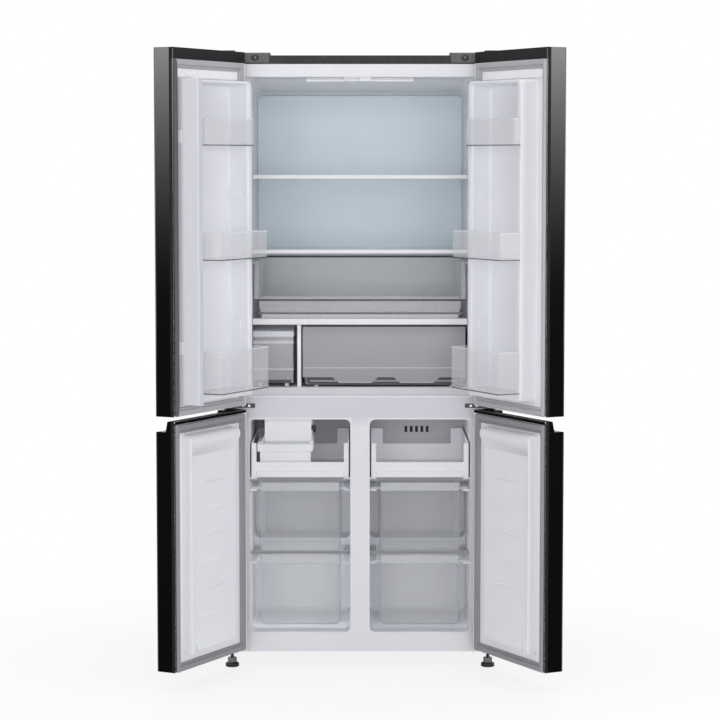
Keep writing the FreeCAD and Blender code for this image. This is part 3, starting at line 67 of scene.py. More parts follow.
# Fridge and freezer spaces
LINER = 2.0
FRIDGE_OPENING_HALF = 335.0
FRIDGE_HALF = 322.0
THROAT_DEPTH = 114.0
FRIDGE_DEPTH = 560.0
FRIDGE_SILL = 796.0
FRIDGE_FLOOR = 811.0
FRIDGE_CEILING = 1720.0
CEILING_BACK = 1691.0
SILL_DEPTH = 45.0
RAMP_END = 95.0
FREEZER_X = (28.5, 323.0)
FREEZER_FLOOR = 99.0
FREEZER_CEILING = 726.0
FREEZER_BACK = 458.0
CHAMBER_DEPTH = 555.0
STEP_DEPTH = 345.0
STEP_Z = 325.0
LIP = 5.0
LIP_PROUD = 0.4

# Doors, in the closed place: u runs from the hinge side and h back from the inner face
DOOR_GAP = 10.0
DOOR_WIDTH = 395.0
DOOR_THICKNESS = 61.0
DOOR_Z = {"upper": (773.0, 1789.0), "lower": (57.5, 760.5)}
GASKET_Z = {"upper": (775.0, 1757.0), "lower": (59.5, 750.5)}
CAP_HEIGHT = 32.0
DYKE_U = (70.0, 342.0)
DYKE_Z = (810.0, 1704.0)
DYKE_WALL = 24.0
DYKE_HEIGHT = 50.0  # at the free side
DYKE_RISE = 15.0  # how much higher the ring is at the hinge side
PANEL_HEIGHT = 30.0
PANEL_RECESS = 15.0
GASKET_HEIGHT = 9.5


def at(x, d, z):
    return Vector((x * MM, FRONT_Y + d * MM, z * MM))


def door_at(u, h, z):
    """Point of the left door when it is closed."""
    return at(u - HALF, h - DOOR_GAP, z)


def door_opening():
    """Turn that takes a closed left door to the photographed place."""
    joint = JOINTS["upper_left_door_swing"]
    pin = Vector(joint["pos_m"])
    turn = Matrix.Rotation(math.radians(-joint["range_deg"][0]), 4, Vector(joint["axis"]))
    return Matrix.Translation(pin) @ turn @ Matrix.Translation(-pin)


OPENING = door_opening()
MIRROR = Matrix.Scale(-1, 4, Vector((1, 0, 0)))


# Materials

class Look:
    """Builds one node material round a single shader."""

    def __init__(self, name):
        self.material = bpy.data.materials.new(name)
        self.material.use_nodes = True
        self.tree = self.material.node_tree
        self.shader = self.tree.nodes["Principled BSDF"]
        self.place = self.node("ShaderNodeTexCoord").outputs["Object"]

    def node(self, kind, **inputs):
        made = self.tree.nodes.new(kind)
        for key, value in inputs.items():
            made.inputs[key.replace("_", " ")].default_value = value
        return made

    def link(self, source, target):
        self.tree.links.new(source, target)

    def noise(self, scale, detail=3.0, stretch=(1, 1, 1)):
        """Noise in the frame's metres, drawn out along an axis where stretch is small."""
        spread = self.node("ShaderNodeMapping", Scale=stretch)
        self.link(self.place, spread.inputs["Vector"])
        noise = self.node("ShaderNodeTexNoise", Scale=scale, Detail=detail)
        self.link(spread.outputs["Vector"], noise.inputs["Vector"])
        return noise.outputs["Fac"]

    def between(self, factor, low, high, start=0.3, end=0.7):
        """Number that follows the factor from low to high."""
        ramp = self.node("ShaderNodeMapRange")
        for key, value in zip(("From Min", "From Max", "To Min", "To Max"), (start, end, low, high)):
            ramp.inputs[key].default_value = value
        self.link(factor, ramp.inputs["Value"])
        return ramp.outputs["Result"]

    def blend(self, factor, first, second):
        """Colour between two colours, or between two colour outputs."""
        mix = self.node("ShaderNodeMix")
        mix.data_type = "RGBA"
        for name, value in (("A", first), ("B", second)):
            socket = [s for s in mix.inputs if s.name == name and s.type == "RGBA"][0]
            if isinstance(value, tuple):
                socket.default_value = (*value, 1)
            else:
                self.link(value, socket)
        self.link(factor, mix.inputs["Factor"])
        return [s for s in mix.outputs if s.type == "RGBA"][0]

    def height(self):
        """Height above the floor, in metres."""
        split = self.node("ShaderNodeSeparateXYZ")
        self.link(self.place, split.inputs["Vector"])
        return split.outputs["Z"]

    def bump(self, factor, depth):
        bump = self.node("ShaderNodeBump", Strength=0.6, Distance=depth)
        self.link(factor, bump.inputs["Height"])
        self.link(bump.outputs["Normal"], self.shader.inputs["Normal"])

    def set(self, **values):
        for key, value in values.items():
            self.shader.inputs[key.replace("_", " ")].default_value = value

    def colour(self, source):
        self.link(source, self.shader.inputs["Base Color"])

    def roughness(self, source):
        self.link(source, self.shader.inputs["Roughness"])


def calculated(tree, operation, first, second):
    """Output of a maths node on an output and a second output or number."""
    node = tree.nodes.new("ShaderNodeMath")
    node.operation = operation
    tree.links.new(first, node.inputs[0])
    if isinstance(second, float):
        node.inputs[1].default_value = second
    else:
        tree.links.new(second, node.inputs[1])
    return node.outputs[0]


def shade(colour, factor):
    return tuple(min(1.0, c * factor) for c in colour)


def moulded(name, colour, rough, vary=0.04, peel=900.0, depth=0.00004, **settings):
    """Moulded or painted surface: cloudy tint, uneven gloss and a fine orange peel."""
    look = Look(name)
    look.colour(look.blend(look.noise(9.0), shade(colour, 1 - vary), shade(colour, 1 + vary)))
    look.roughness(look.between(look.noise(60.0), rough * 0.88, rough * 1.12))
    look.bump(look.noise(peel), depth)
    look.set(**settings)
    return look.material


def brushed(name, colour, rough, stretch):
    """Metal with a grain drawn out along one axis."""
    look = Look(name)
    grain = look.noise(700.0, 4.0, stretch)
    look.colour(look.blend(grain, shade(colour, 0.86), shade(colour, 1.1)))
    look.roughness(look.between(grain, rough * 0.8, rough * 1.25))
    look.bump(grain, 0.00003)
    look.set(Metallic=1.0)
    return look.material


def clear(name, colour, rough, alpha, edge_alpha):
    """Thin clear plastic or glass: faint face on, denser at its edges."""
    look = Look(name)
    look.colour(look.blend(look.noise(14.0), shade(colour, 0.96), shade(colour, 1.04)))
    look.roughness(look.between(look.noise(90.0), rough * 0.7, rough * 1.3))
    rim = look.node("ShaderNodeLayerWeight", Blend=0.35)
    look.link(look.between(rim.outputs["Facing"], alpha, edge_alpha, 0.25, 0.95), look.shader.inputs["Alpha"])
    look.set(IOR=1.49)
    return look.material


# Heights over which the doors' ends' painted reflection runs from black to grey
END_REFLECTION_Z = (1.0, 1.80)  # metres above the floor, from black to grey
END_REFLECTION_CURVE = 2.7


def door_end_painted_reflection():
    """Satin trim on the doors' ends with a painted reflection of the room: grey at the top and black below.
    """
    look = Look("door_end_satin")
    rise = calculated(look.tree, "POWER", look.between(look.height(), 0.0, 1.0, *END_REFLECTION_Z), END_REFLECTION_CURVE)
    look.colour(look.blend(rise, (0.002, 0.002, 0.002), (0.28, 0.28, 0.285)))
    look.roughness(look.between(look.noise(50.0), 0.38, 0.5))
    look.bump(look.noise(1200.0), 0.00002)
    look.set(Specular_IOR_Level=0.02)
    return look.material


# The bar between the fridge and the freezer gets painted shade between these heights
BAR_SHADE_FOOT = (0.700, 0.735)  # metres above the floor, where the bar's darker tone comes in
BAR_SHADE_HEAD = (0.788, 0.798)  # and where it goes


def front_paint_with_bar_shade():
    """White paint of the front frame, with painted shade that darkens the bar between the fridge and the
    freezer.
    """
    look = Look("front_white_paint_bar_shade")
    paint_tint = look.blend(look.noise(9.0), (0.82, 0.825, 0.865), (0.84, 0.845, 0.885))
    above = look.between(look.height(), 0.0, 1.0, *BAR_SHADE_FOOT)
    below = look.between(look.height(), 1.0, 0.0, *BAR_SHADE_HEAD)
    look.colour(look.blend(calculated(look.tree, "MULTIPLY", above, below), paint_tint, (0.68, 0.685, 0.735)))
    look.roughness(look.between(look.noise(60.0), 0.32, 0.4))
    look.bump(look.noise(1400.0), 0.00002)
    return look.material


def black_glass():
    """Tinted door glass over a dark print with a faint sparkle."""
    look = Look("door_black_glass")
    specks = look.between(look.noise(2600.0, 1.0), 0.0, 1.0, 0.62, 0.8)
    look.colour(look.blend(specks, (0.012, 0.012, 0.014), (0.05, 0.05, 0.055)))
    look.roughness(look.between(look.noise(4.0), 0.08, 0.13))
    look.set(Coat_Weight=0.6, Coat_Roughness=0.03)
    return look.material


def lamp_lens():
    """Frosted lens that glows a little."""
    look = Look("lamp_lens")
    look.colour(look.blend(look.noise(40.0), (0.92, 0.92, 0.92), (0.98, 0.98, 0.98)))
    look.roughness(look.between(look.noise(120.0), 0.35, 0.5))
    look.set(Emission_Color=(1, 0.99, 0.97, 1), Emission_Strength=0.35)
    return look.material


def foam_material():
    look = Look("rigid_foam")
    cells = look.noise(420.0, 5.0)
    look.colour(look.blend(cells, (0.72, 0.62, 0.38), (0.9, 0.82, 0.6)))
    look.roughness(look.between(cells, 0.8, 0.95))
    look.bump(cells, 0.0004)
    return look.material


LOOKS = {
    "liner": moulded("liner_white", (0.83, 0.835, 0.875), 0.42, 0.02),
    "liner_painted_shade": moulded("liner_white_painted_shade", (0.72, 0.725, 0.77), 0.42, 0.02),
    "trim": moulded("trim_white", (0.88, 0.885, 0.915), 0.36, 0.012),
    "shelf_trim": moulded("shelf_trim_white", (0.94, 0.945, 0.97), 0.34, 0.01),
    "front": front_paint_with_bar_shade(),
    "case": moulded(
        "case_dark_paint", (0.016, 0.016, 0.017), 0.45, 0.08, 1500.0, 0.00005, Specular_IOR_Level=0.25
    ),
    "cap": moulded("cap_dark_plastic", (0.011, 0.011, 0.012), 0.5, 0.1, Specular_IOR_Level=0.12),
    "hinge_cap": moulded("hinge_cap_grey", (0.135, 0.135, 0.137), 0.5, 0.1, Specular_IOR_Level=0.25),
    "gasket": moulded("gasket_rubber", (0.28, 0.28, 0.295), 0.62, 0.05, 500.0, 0.00006),
    "gasket_painted_light": moulded("gasket_rubber_painted_light", (0.45, 0.45, 0.475), 0.62, 0.05, 500.0, 0.00006),
    "gasket_painted_shade": moulded("gasket_rubber_painted_shade", (0.085, 0.085, 0.09), 0.62, 0.05, 500.0, 0.00006),
    "flap": moulded("flap_white", (0.66, 0.665, 0.72), 0.4, 0.012),
    "duct": moulded("duct_panel_blue_grey", (0.69, 0.78, 0.84), 0.5, 0.02),
    "cover": moulded("freezer_cover_grey", (0.52, 0.525, 0.55), 0.5, 0.03),
    "dark": moulded("dark_plastic", (0.03, 0.03, 0.032), 0.45, 0.1),
    "black": moulded("black_rubber", (0.008, 0.008, 0.008), 0.6, 0.15, 700.0, 0.00008),
    "drawer": moulded("drawer_grey", (0.3, 0.302, 0.33), 0.34, 0.06, 900.0, 0.00001),
    "drawer_light": moulded("drawer_light_grey", (0.52, 0.525, 0.55), 0.28, 0.04),
    "recess": moulded("drawer_recess_painted_shade", (0.035, 0.035, 0.038), 0.45, 0.08),
    "steel": brushed("zinc_steel", (0.55, 0.55, 0.56), 0.35, (1, 1, 0.04)),
    "hinge": brushed("hinge_steel", (0.12, 0.12, 0.125), 0.3, (0.05, 1, 1)),
    "aluminium": brushed("fin_aluminium", (0.75, 0.76, 0.77), 0.3, (0.04, 1, 1)),
    "copper": brushed("coil_copper", (0.42, 0.2, 0.11), 0.35, (0.05, 1, 1)),
    "compressor": moulded("compressor_black_paint", (0.012, 0.012, 0.013), 0.32, 0.1),
    "bin": clear("bin_clear", (0.8, 0.805, 0.835), 0.06, 0.17, 0.36),
    "freezer_bin": clear("freezer_drawer_clear", (0.8, 0.82, 0.855), 0.1, 0.17, 0.36),
    "band": clear("freezer_band_frosted", (0.84, 0.85, 0.88), 0.3, 0.45, 0.8),
    "smoke": clear("crisper_smoke_clear", (0.76, 0.745, 0.77), 0.12, 0.28, 0.7),
    "shelf_glass": clear("shelf_glass", (0.72, 0.8, 0.8), 0.04, 0.06, 0.4),
    "tank": clear("tank_clear", (0.64, 0.645, 0.67), 0.12, 0.45, 0.8),
    "door_end": door_end_painted_reflection(),
    "glass": black_glass(),
    "lamp": lamp_lens(),
    "foam": foam_material(),
}


# Mesh building

WELD = 2e-6  # metres; points nearer than this are one point
SEAM = 1e-6  # metres; the same where skins of one mesh meet or are cut
FLAT = 0.5  # degrees; faces of a CAD copy that turn by less are one face
SHARP = 25.0  # degrees; edges of a CAD copy that turn by more are rounded
SMOOTH = 38.0  # degrees; faces that turn by less are shaded as one


def loft(mesh, rings, start=True, end=True, loop=False):
    """Skin through rings of equally many points, closed at its ends or, with loop, joined to its start."""
    rows = [[mesh.verts.new(p) for p in ring] for ring in rings]
    following = rows[1:] + rows[:1] if loop else rows[1:]
    for first, second in zip(rows, following):
        for i in range(len(first)):
            j = (i + 1) % len(first)
            mesh.faces.new((first[i], first[j], second[j], second[i]))
    if start and not loop:
        mesh.faces.new(rows[0][::-1])
    if end and not loop:
        mesh.faces.new(rows[-1])


def unit_angle(first, second):
    return math.acos(max(-1.0, min(1.0, first.dot(second))))


def rounded(points, radii, steps=5):
    """Closed outline with an arc in place of each corner; every corner gives as many points."""
    outline = []
    for i, corner in enumerate(points):
        here = Vector(corner)
        back = (Vector(points[i - 1]) - here).normalized()
        ahead = (Vector(points[(i + 1) % len(points)]) - here).normalized()
        radius = radii[i] if isinstance(radii, (list, tuple)) else radii
        half = unit_angle(back, ahead) / 2
        run = radius / math.tan(half)
        centre = here + (back + ahead).normalized() * (radius / math.sin(half))
        start = here + back * run - centre
        end = here + ahead * run - centre
        arc = unit_angle(start.normalized(), end.normalized())
        for step in range(steps + 1):
            part = step / steps
            mixed = (start * math.sin((1 - part) * arc) + end * math.sin(part * arc)) / math.sin(arc)
            outline.append(tuple(centre + mixed))
    return outline


def rectangle(a, b, radius, steps=5):
    """Rounded rectangle between two spans, as pairs."""
    return rounded([(a[0], b[0]), (a[1], b[0]), (a[1], b[1]), (a[0], b[1])], radius, steps)


def inset(span, amount):
    return (span[0] + amount, span[1] - amount)


def on_side(sign, span):
    """The span itself where sign is 1, or its mirror image where it is -1."""
    return tuple(sorted(sign * end for end in span))


def quarter(steps):
    """Sine and cosine at even steps of a quarter turn."""
    turns = [math.pi / 2 * step / steps for step in range(steps + 1)]
    return [(math.sin(turn), math.cos(turn)) for turn in turns]


def bevel(mesh, edges, radius, steps):
    bmesh.ops.bevel(mesh, geom=edges, offset=radius * MM, segments=steps, profile=0.5, affect="EDGES",
                    clamp_overlap=True)


def solid_box(mesh, low, high, radius, steps=2):
    """Box between two corners of the frame, in metres, with rounded edges (radius in millimetres)."""
    verts = bmesh.ops.create_cube(mesh, size=1.0)["verts"]
    bmesh.ops.scale(mesh, vec=high - low, verts=verts)
    bmesh.ops.translate(mesh, vec=(low + high) / 2, verts=verts)
    bevel(mesh, list({e for v in verts for e in v.link_edges}), radius, steps)


def block(mesh, x, d, z, radius, steps=2):
    solid_box(mesh, at(x[0], d[0], z[0]), at(x[1], d[1], z[1]), radius, steps)


def door_block(mesh, u, h, z, radius, steps=2):
    solid_box(mesh, door_at(u[0], h[0], z[0]), door_at(u[1], h[1], z[1]), radius, steps)


def front_prism(mesh, outline, depths):
    """Prism that runs back from an outline of x and z."""
    loft(mesh, [[at(x, d, z) for x, z in outline] for d in depths])


def door_prism(mesh, outline, z):
    """Upright prism on the closed left door, over an outline of u and h."""
    loft(mesh, [[door_at(u, h, level) for u, h in outline] for level in z])


def lathe(mesh, profile, place, steps=40):
    """Turned solid: profile pairs of radius and height in millimetres about the place matrix's Z."""
    turns = [2 * math.pi * i / steps for i in range(steps)]
    rings = []
    for radius, height in profile:
        reach = radius * MM
        circle = [(reach * math.cos(turn), reach * math.sin(turn), height * MM) for turn in turns]
        rings.append([place @ Vector(point) for point in circle])
    loft(mesh, rings)


def box_tub(mesh, x, d, z, wall, radius, foot=8.0, lip=1.5, lip_height=6.0):
    """Open tub over a rounded rectangle, with a rounded foot and a thicker lip."""
    hollow = max(foot - wall, 1.0)
    outside = [(-foot * (1 - sine), z[0] + foot * (1 - cosine)) for sine, cosine in quarter(4)]
    outside += [(0.0, z[1] - lip_height), (lip, z[1] - lip_height + lip)]
    outside += [(lip, z[1] - lip / 2), (lip / 2, z[1])]
    inside = [(-hollow * (1 - sine), z[0] + wall + hollow * (1 - cosine)) for sine, cosine in quarter(4)]
    inside += [(0.0, z[1] - lip / 2), (0.0, z[1])]
    rings = []
    for skin, depth, corner in ((outside, 0.0, radius), (inside[::-1], wall, radius - wall / 2)):
        for out, height in skin:
            spans = [inset(inset(span, depth), -out) for span in (x, d)]
            plan = rectangle(*spans, max(corner + out, 1.0))
            rings.append([at(px, pd, height) for px, pd in plan])
    loft(mesh, rings)


def part_solids(mesh):
    """Give solids that touch along an edge their own points, so that each one is closed by itself."""
    done = set()
    solids = []
    for first in mesh.faces:
        if first in done:
            continue
        done.add(first)
        solid = [first]
        for face in solid:
            for edge in face.edges:
                if len(edge.link_faces) != 2:
                    continue
                for other in edge.link_faces:
                    if other not in done:
                        done.add(other)
                        solid.append(other)
        solids.append(solid)
    for solid in solids[1:]:
        bmesh.ops.split(mesh, geom=solid)


def weld(mesh, dist):
    bmesh.ops.remove_doubles(mesh, verts=mesh.verts[:], dist=dist)


def copied(node, to_closed=None):
    """Editable copy of a CAD node with its flat faces whole, taken to the closed left door where asked."""
    mesh = bmesh.new()
    mesh.from_mesh(NODES[node].data)
    if to_closed:
        mesh.transform(to_closed)
        if to_closed.determinant() < 0:
            bmesh.ops.reverse_faces(mesh, faces=mesh.faces[:])
    weld(mesh, WELD)
    part_solids(mesh)
    bmesh.ops.dissolve_limit(mesh, angle_limit=math.radians(FLAT), use_dissolve_boundaries=False,
                             verts=mesh.verts[:], edges=mesh.edges[:])
    return mesh


def soften(mesh, radius, steps=2):
    """Round the sharp edges."""
    sharp = math.radians(SHARP)
    edges = [e for e in mesh.edges if len(e.link_faces) == 2 and e.calc_face_angle(0) >= sharp]
    bevel(mesh, edges, radius, steps)


def placed(name, data):
    """New object in the scene."""
    made = bpy.data.objects.new(name, data)
    bpy.context.scene.collection.objects.link(made)
    return made


def piece(name, mesh, look, body, slot, *replaces, more_looks=()):
    """Finish a mesh as an object that rides on a body. A face's material index may pick one of more_looks."""
    bmesh.ops.dissolve_degenerate(mesh, dist=WELD, edges=mesh.edges[:])
    bmesh.ops.recalc_face_normals(mesh, faces=mesh.faces[:])
    data = bpy.data.meshes.new(name)
    mesh.to_mesh(data)
    mesh.free()
    data.shade_smooth()
    data.set_sharp_from_angle(angle=math.radians(SMOOTH))
    for each in (look, *more_looks):
        data.materials.append(LOOKS[each])
    made = placed(name, data)
    made.modifiers.new("flat_faces", "WEIGHTED_NORMAL").keep_sharp = True
    if replaces:
        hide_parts(*replaces)
    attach(made, body)


def blocks(name, look, body, slot, *places):
    """Piece made of rounded blocks, each given by its x, d, z, radius and steps."""
    mesh = bmesh.new()
    for place in places:
        block(mesh, *place)
    piece(name, mesh, look, body, slot)


def softened(node, look, body, slot, radius, steps=2):
    """Piece with the shape of a CAD node and rounded edges."""
    mesh = copied(node)
    soften(mesh, radius, steps)
    piece(f"{node}_finished", mesh, look, body, slot, node)


def paint(node, look):
    """Give a CAD node that keeps its shape a finished material."""
    slots = NODES[node].data.materials
    slots.clear()
    slots.append(LOOKS[look])


def hang(mesh, side):
    """Take a mesh made on the closed left door to its open place."""
    mesh.transform(OPENING)
    if side == "right":
        mesh.transform(MIRROR)
        bmesh.ops.reverse_faces(mesh, faces=mesh.faces[:])


def closing(side):
    """Matrix that brings a door's CAD piece to the closed left place."""
    return OPENING.inverted() if side == "left" else OPENING.inverted() @ MIRROR


def door_piece(level, side, name, mesh, look, slot, *replaces, more_looks=()):
    """Piece of a door, made in the closed left place. Names are given without the door's own."""
    hang(mesh, side)
    door = f"{level}_{side}_door"
    nodes = [f"{door}_{node}" for node in replaces]
    piece(f"{door}_{name}", mesh, look, door, slot, *nodes, more_looks=more_looks)


# Liners

ROOM_START = (0.6, 4.0)  # depths of a room's first rings
LEDGE_TOPS = (1429.0, 1209.0, 1007.0, 1179.7)  # under both shelves, the cover glass and the crisper's rims
LEDGE_D = (136.0, 530.0)
LEDGE_WIDTH = 20.0
LEDGE_HEIGHT = 4.0
FLOOR_RIBS = ((-130.0, 3.7), (272.0, 3.7), (-296.0, 10.7), (-217.0, 10.7))  # x and height; drawer, then tank
RIB_HALF = 6.0
FREEZER_CORNER = 18.0
FREEZER_DRAWER_BACK = {"upper": 448.0, "lower": 335.0}
TUB_FRONT = 44.0  # of the freezer drawers' tubs and runners
SEATS = ((552.0, "upper"), (517.0, "upper"), (301.0, "lower"))  # of the trays and the drawers' rims
RUNNER_WIDTH = 20.0
STRIP_WIDTH = 29.0
STRIP_TOP = 545.0
RAIL_D = (50.0, 54.0)
RAIL_GAPS = ((538.0, 551.0), (322.0, 331.0))
DUCT_X = (-318.0, 318.0)
DUCT_Z = (1011.0, 1681.0)
DUCT_CORNER = 14.0
COVER_PANELS = ((342.0, 520.0), (536.0, 620.0))
COVER_PANEL_HALF = 120.0
VENT_START = 138.0
VENT_PITCH = 16.5
VENT_WIDTH = 9.0
VENT_COUNT = 5
VENT_Z = (639.0, 658.0)


def room_ring(x, z, d, radius):
    return [at(px, d, pz) for px, pz in rectangle(x, z, radius)]


def outer_ring(x, z, d, radius, behind=LINER):
    """Ring of the liner's outside, round one of its inside."""
    return room_ring(inset(x, -LINER), inset(z, -LINER), d + behind, radius + LINER)


def room(mesh, stations, close):
    """Moulded room: a lip on the cabinet's front, rounded rings going back and the same outside."""
    x, z, _, radius = stations[0]
    lips = []
    for drawn, d, corner in ((-LIP, 0.0, 2.0), (-LIP + 0.6, -LIP_PROUD, 2.0), (-1.0, -LIP_PROUD, radius + 1)):
        lips.append(room_ring(inset(x, drawn), inset(z, drawn), d, corner))
    inside = [room_ring(*station) for station in stations]
    outside = [outer_ring(*station) for station in reversed(stations)]
    if close:
        loft(mesh, lips + inside, start=False)
        loft(mesh, outside + lips[:1], end=False)
    else:
        loft(mesh, lips + inside + outside, loop=True)
    weld(mesh, SEAM)


def ceiling_at(d):
    fall = FRIDGE_CEILING - CEILING_BACK
    return FRIDGE_CEILING - fall * max(0.0, d - RAMP_END) / (FRIDGE_DEPTH - RAMP_END)


def fridge_liner():
    wide = (-FRIDGE_OPENING_HALF, FRIDGE_OPENING_HALF)
    inner = (-FRIDGE_HALF, FRIDGE_HALF)
    tall = (FRIDGE_SILL, FRIDGE_CEILING)
    stations = [(wide, tall, d, 10.0) for d in ROOM_START]
    stations += [
        (wide, tall, SILL_DEPTH, 12.0),
        (wide, (FRIDGE_SILL + 0.8, FRIDGE_CEILING), SILL_DEPTH + 6, 12.0),
        (wide, (FRIDGE_FLOOR - 0.8, FRIDGE_CEILING), RAMP_END - 6, 12.0),
        (wide, (FRIDGE_FLOOR, ceiling_at(RAMP_END)), RAMP_END, 13.0),
    ]
    for drawn, before in ((0.0, 16.0), (1.5, 12.0), (6.5, 8.0), (11.5, 4.0), (13.0, 0.0)):
        depth = THROAT_DEPTH - before
        stations.append((inset(wide, drawn), (FRIDGE_FLOOR, ceiling_at(depth)), depth, 14.0 + drawn / 2))
    for drawn, before in ((0.0, 24.0), (2.0, 14.0), (7.0, 5.0), (16.0, 0.0)):
        depth = FRIDGE_DEPTH - before
        height = inset((FRIDGE_FLOOR, ceiling_at(depth)), drawn)
        stations.append((inset(inner, drawn), height, depth, 22.0))
    mesh = bmesh.new()
    room(mesh, stations, True)
    for top in LEDGE_TOPS:
        for sign in (-1, 1):
            x = on_side(sign, (FRIDGE_HALF - LEDGE_WIDTH, FRIDGE_HALF + 1))
            block(mesh, x, LEDGE_D, (top - LEDGE_HEIGHT, top), 1.5, 3)
    for x, rise in FLOOR_RIBS:
        block(mesh, (x - RIB_HALF, x + RIB_HALF), LEDGE_D, (FRIDGE_FLOOR - 1, FRIDGE_FLOOR + rise), 1.0)
    piece("fridge_liner_moulded", mesh, "liner", "cabinet", "liner_white", "fridge_liner")


def along_walls(x, width):
    """Spans along both side walls of a room, let into them a little."""
    return (x[0] - 1, x[0] + width), (x[1] - width, x[1] + 1)


def freezer_liner():
    tall = (FREEZER_FLOOR, FREEZER_CEILING)
    short = (STEP_Z, FREEZER_CEILING)
    mesh = bmesh.new()
    for sign in (1, -1):
        x = on_side(sign, FREEZER_X)
        stations = [(x, tall, d, 16.0) for d in ROOM_START]
        for lift, before in ((0.0, 14.0), (1.5, 6.0), (5.0, 2.0), (14.0, 0.0)):
            stations.append((x, (FREEZER_FLOOR + lift, FREEZER_CEILING), STEP_DEPTH - before, FREEZER_CORNER))
        stations.append((x, (STEP_Z - 1, FREEZER_CEILING), STEP_DEPTH, FREEZER_CORNER))
        stations += [(x, short, d, FREEZER_CORNER) for d in (STEP_DEPTH + 1, FREEZER_BACK + 4)]
        room(mesh, stations, False)
        for seat, level in SEATS:
            for runner in along_walls(x, RUNNER_WIDTH):
                d = (TUB_FRONT, FREEZER_DRAWER_BACK[level])
                block(mesh, runner, d, (seat - 7.3, seat - 0.3), 1.5)
        for strip in along_walls(x, STRIP_WIDTH):
            block(mesh, strip, (FREEZER_BACK - 3, FREEZER_BACK + 1), (STEP_Z - 1, STRIP_TOP), 1.0)
    wide = (-FREEZER_X[1], FREEZER_X[1])
    front, back = [(wide, short, d, 12.0) for d in (FREEZER_BACK + 4.5, CHAMBER_DEPTH)]
    loft(mesh, [room_ring(*front), room_ring(*back)], start=False)
    loft(mesh, [outer_ring(*back), outer_ring(*front, behind=0.0), room_ring(*front)], end=False)
    weld(mesh, SEAM)
    piece("freezer_liner_moulded", mesh, "liner", "cabinet", "liner_white", "freezer_liner")


def freezer_shade_rails():
    """Grey cross rails in the gaps under each tray and between the drawers; their dark grey is also painted
    shade for these gaps.
    """
    spans = [inset(on_side(sign, FREEZER_X), -1) for sign in (1, -1)]
    rails = [(x, RAIL_D, z, 0.8) for x in spans for z in RAIL_GAPS]
    blocks("freezer_shade_rails", "drawer", "cabinet", "cover_grey", *rails)


def duct_panel():
    """Blue-grey duct panel on the fridge's back wall."""
    rings = []
    for drawn, before in ((0.0, 0.0), (0.0, 11.0), (1.2, 13.8), (4.0, 15.0)):
        depth = FRIDGE_DEPTH - before
        rings.append(room_ring(inset(DUCT_X, drawn), inset(DUCT_Z, drawn), depth, DUCT_CORNER))
    mesh = bmesh.new()
    loft(mesh, rings)
    piece("fridge_duct_panel", mesh, "duct", "cabinet", "cover_grey", "duct_covers")


def freezer_covers():
    """Grey covers at the back of the freezer, with air slots drawn as black blocks that paint the shade in
    the slots' hollows.
    """
    covers = []
    slots = []
    for sign in (1, -1):
        x = on_side(sign, FREEZER_X)
        covers.append((x, (FREEZER_BACK, FREEZER_BACK + 4), (STEP_Z, FREEZER_CEILING), 0.8))
        panel = inset((sum(x) / 2, sum(x) / 2), -COVER_PANEL_HALF)
        covers += [(panel, (FREEZER_BACK - 2, FREEZER_BACK + 1), z, 1.4) for z in COVER_PANELS]
        for column in range(VENT_COUNT):
            start = VENT_START + column * VENT_PITCH
            vent = on_side(sign, (start, start + VENT_WIDTH))
            slots.append((vent, (FREEZER_BACK - 0.4, FREEZER_BACK + 3), VENT_Z, 0.6))
    blocks("freezer_back_covers", "cover", "cabinet", "cover_grey", *covers)
    blocks("freezer_vent_slots", "black", "cabinet", "black_plastic", *slots)


# Doors

BOSS_Z = (1386.0, 1012.0)  # middles of the bosses on the ring's inner walls
BOSS_HALF = 16.0
BOSS_H = (14.0, 40.0)
DYKE_TOP_WALL = 12.0
PLATEAU_U = (50.0, 374.0)
PLATEAU_FOOT = DYKE_Z[1] + 2
PLATEAU_TOP = 1731.0
PLATEAU_RISE = 5.0
FLAP_U = (354.0, 378.0)
FLAP_H = (2.0, 70.0)
FLAP_Z = (806.0, 1704.0)
FLAP_PIVOT = (373.0, 15.0)
FLAP_PIN = (366.0, 30.0)
FLAP_ROUND = 6.0
LUG_RADIUS = 5.2
LUG_HEIGHT = 36.0
LUG_END = 140.0
LUG_GAP = 0.5


def dyke_face(u):
    """Height of the ring's face, which rises to the hinge side."""
    return DYKE_HEIGHT + DYKE_RISE * (DYKE_U[1] - u) / (DYKE_U[1] - DYKE_U[0])


def dyke_outline(drawn, radius, top):
    return rectangle(inset(DYKE_U, drawn), (DYKE_Z[0] + drawn, DYKE_Z[1] - drawn - top), radius)


def dyke_foot(drawn, height, radius, top=0.0):
    """Outline of the ring at one height, drawn in from its outer edge."""
    return [door_at(u, height, z) for u, z in dyke_outline(drawn, radius, top)]


def dyke_edge(drawn, below, radius, top=0.0):
    """Outline of the ring near its sloping face."""
    return [door_at(u, dyke_face(u) - below, z) for u, z in dyke_outline(drawn, radius, top)]


def flange(level, side):
    """New mesh with a door liner's flat flange."""
    low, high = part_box(f"{level}_{side}_door_liner")
    mesh = bmesh.new()
    door_block(mesh, (0, DOOR_WIDTH), (-LINER, 0), (low.z / MM, high.z / MM), 0.6)
    return mesh


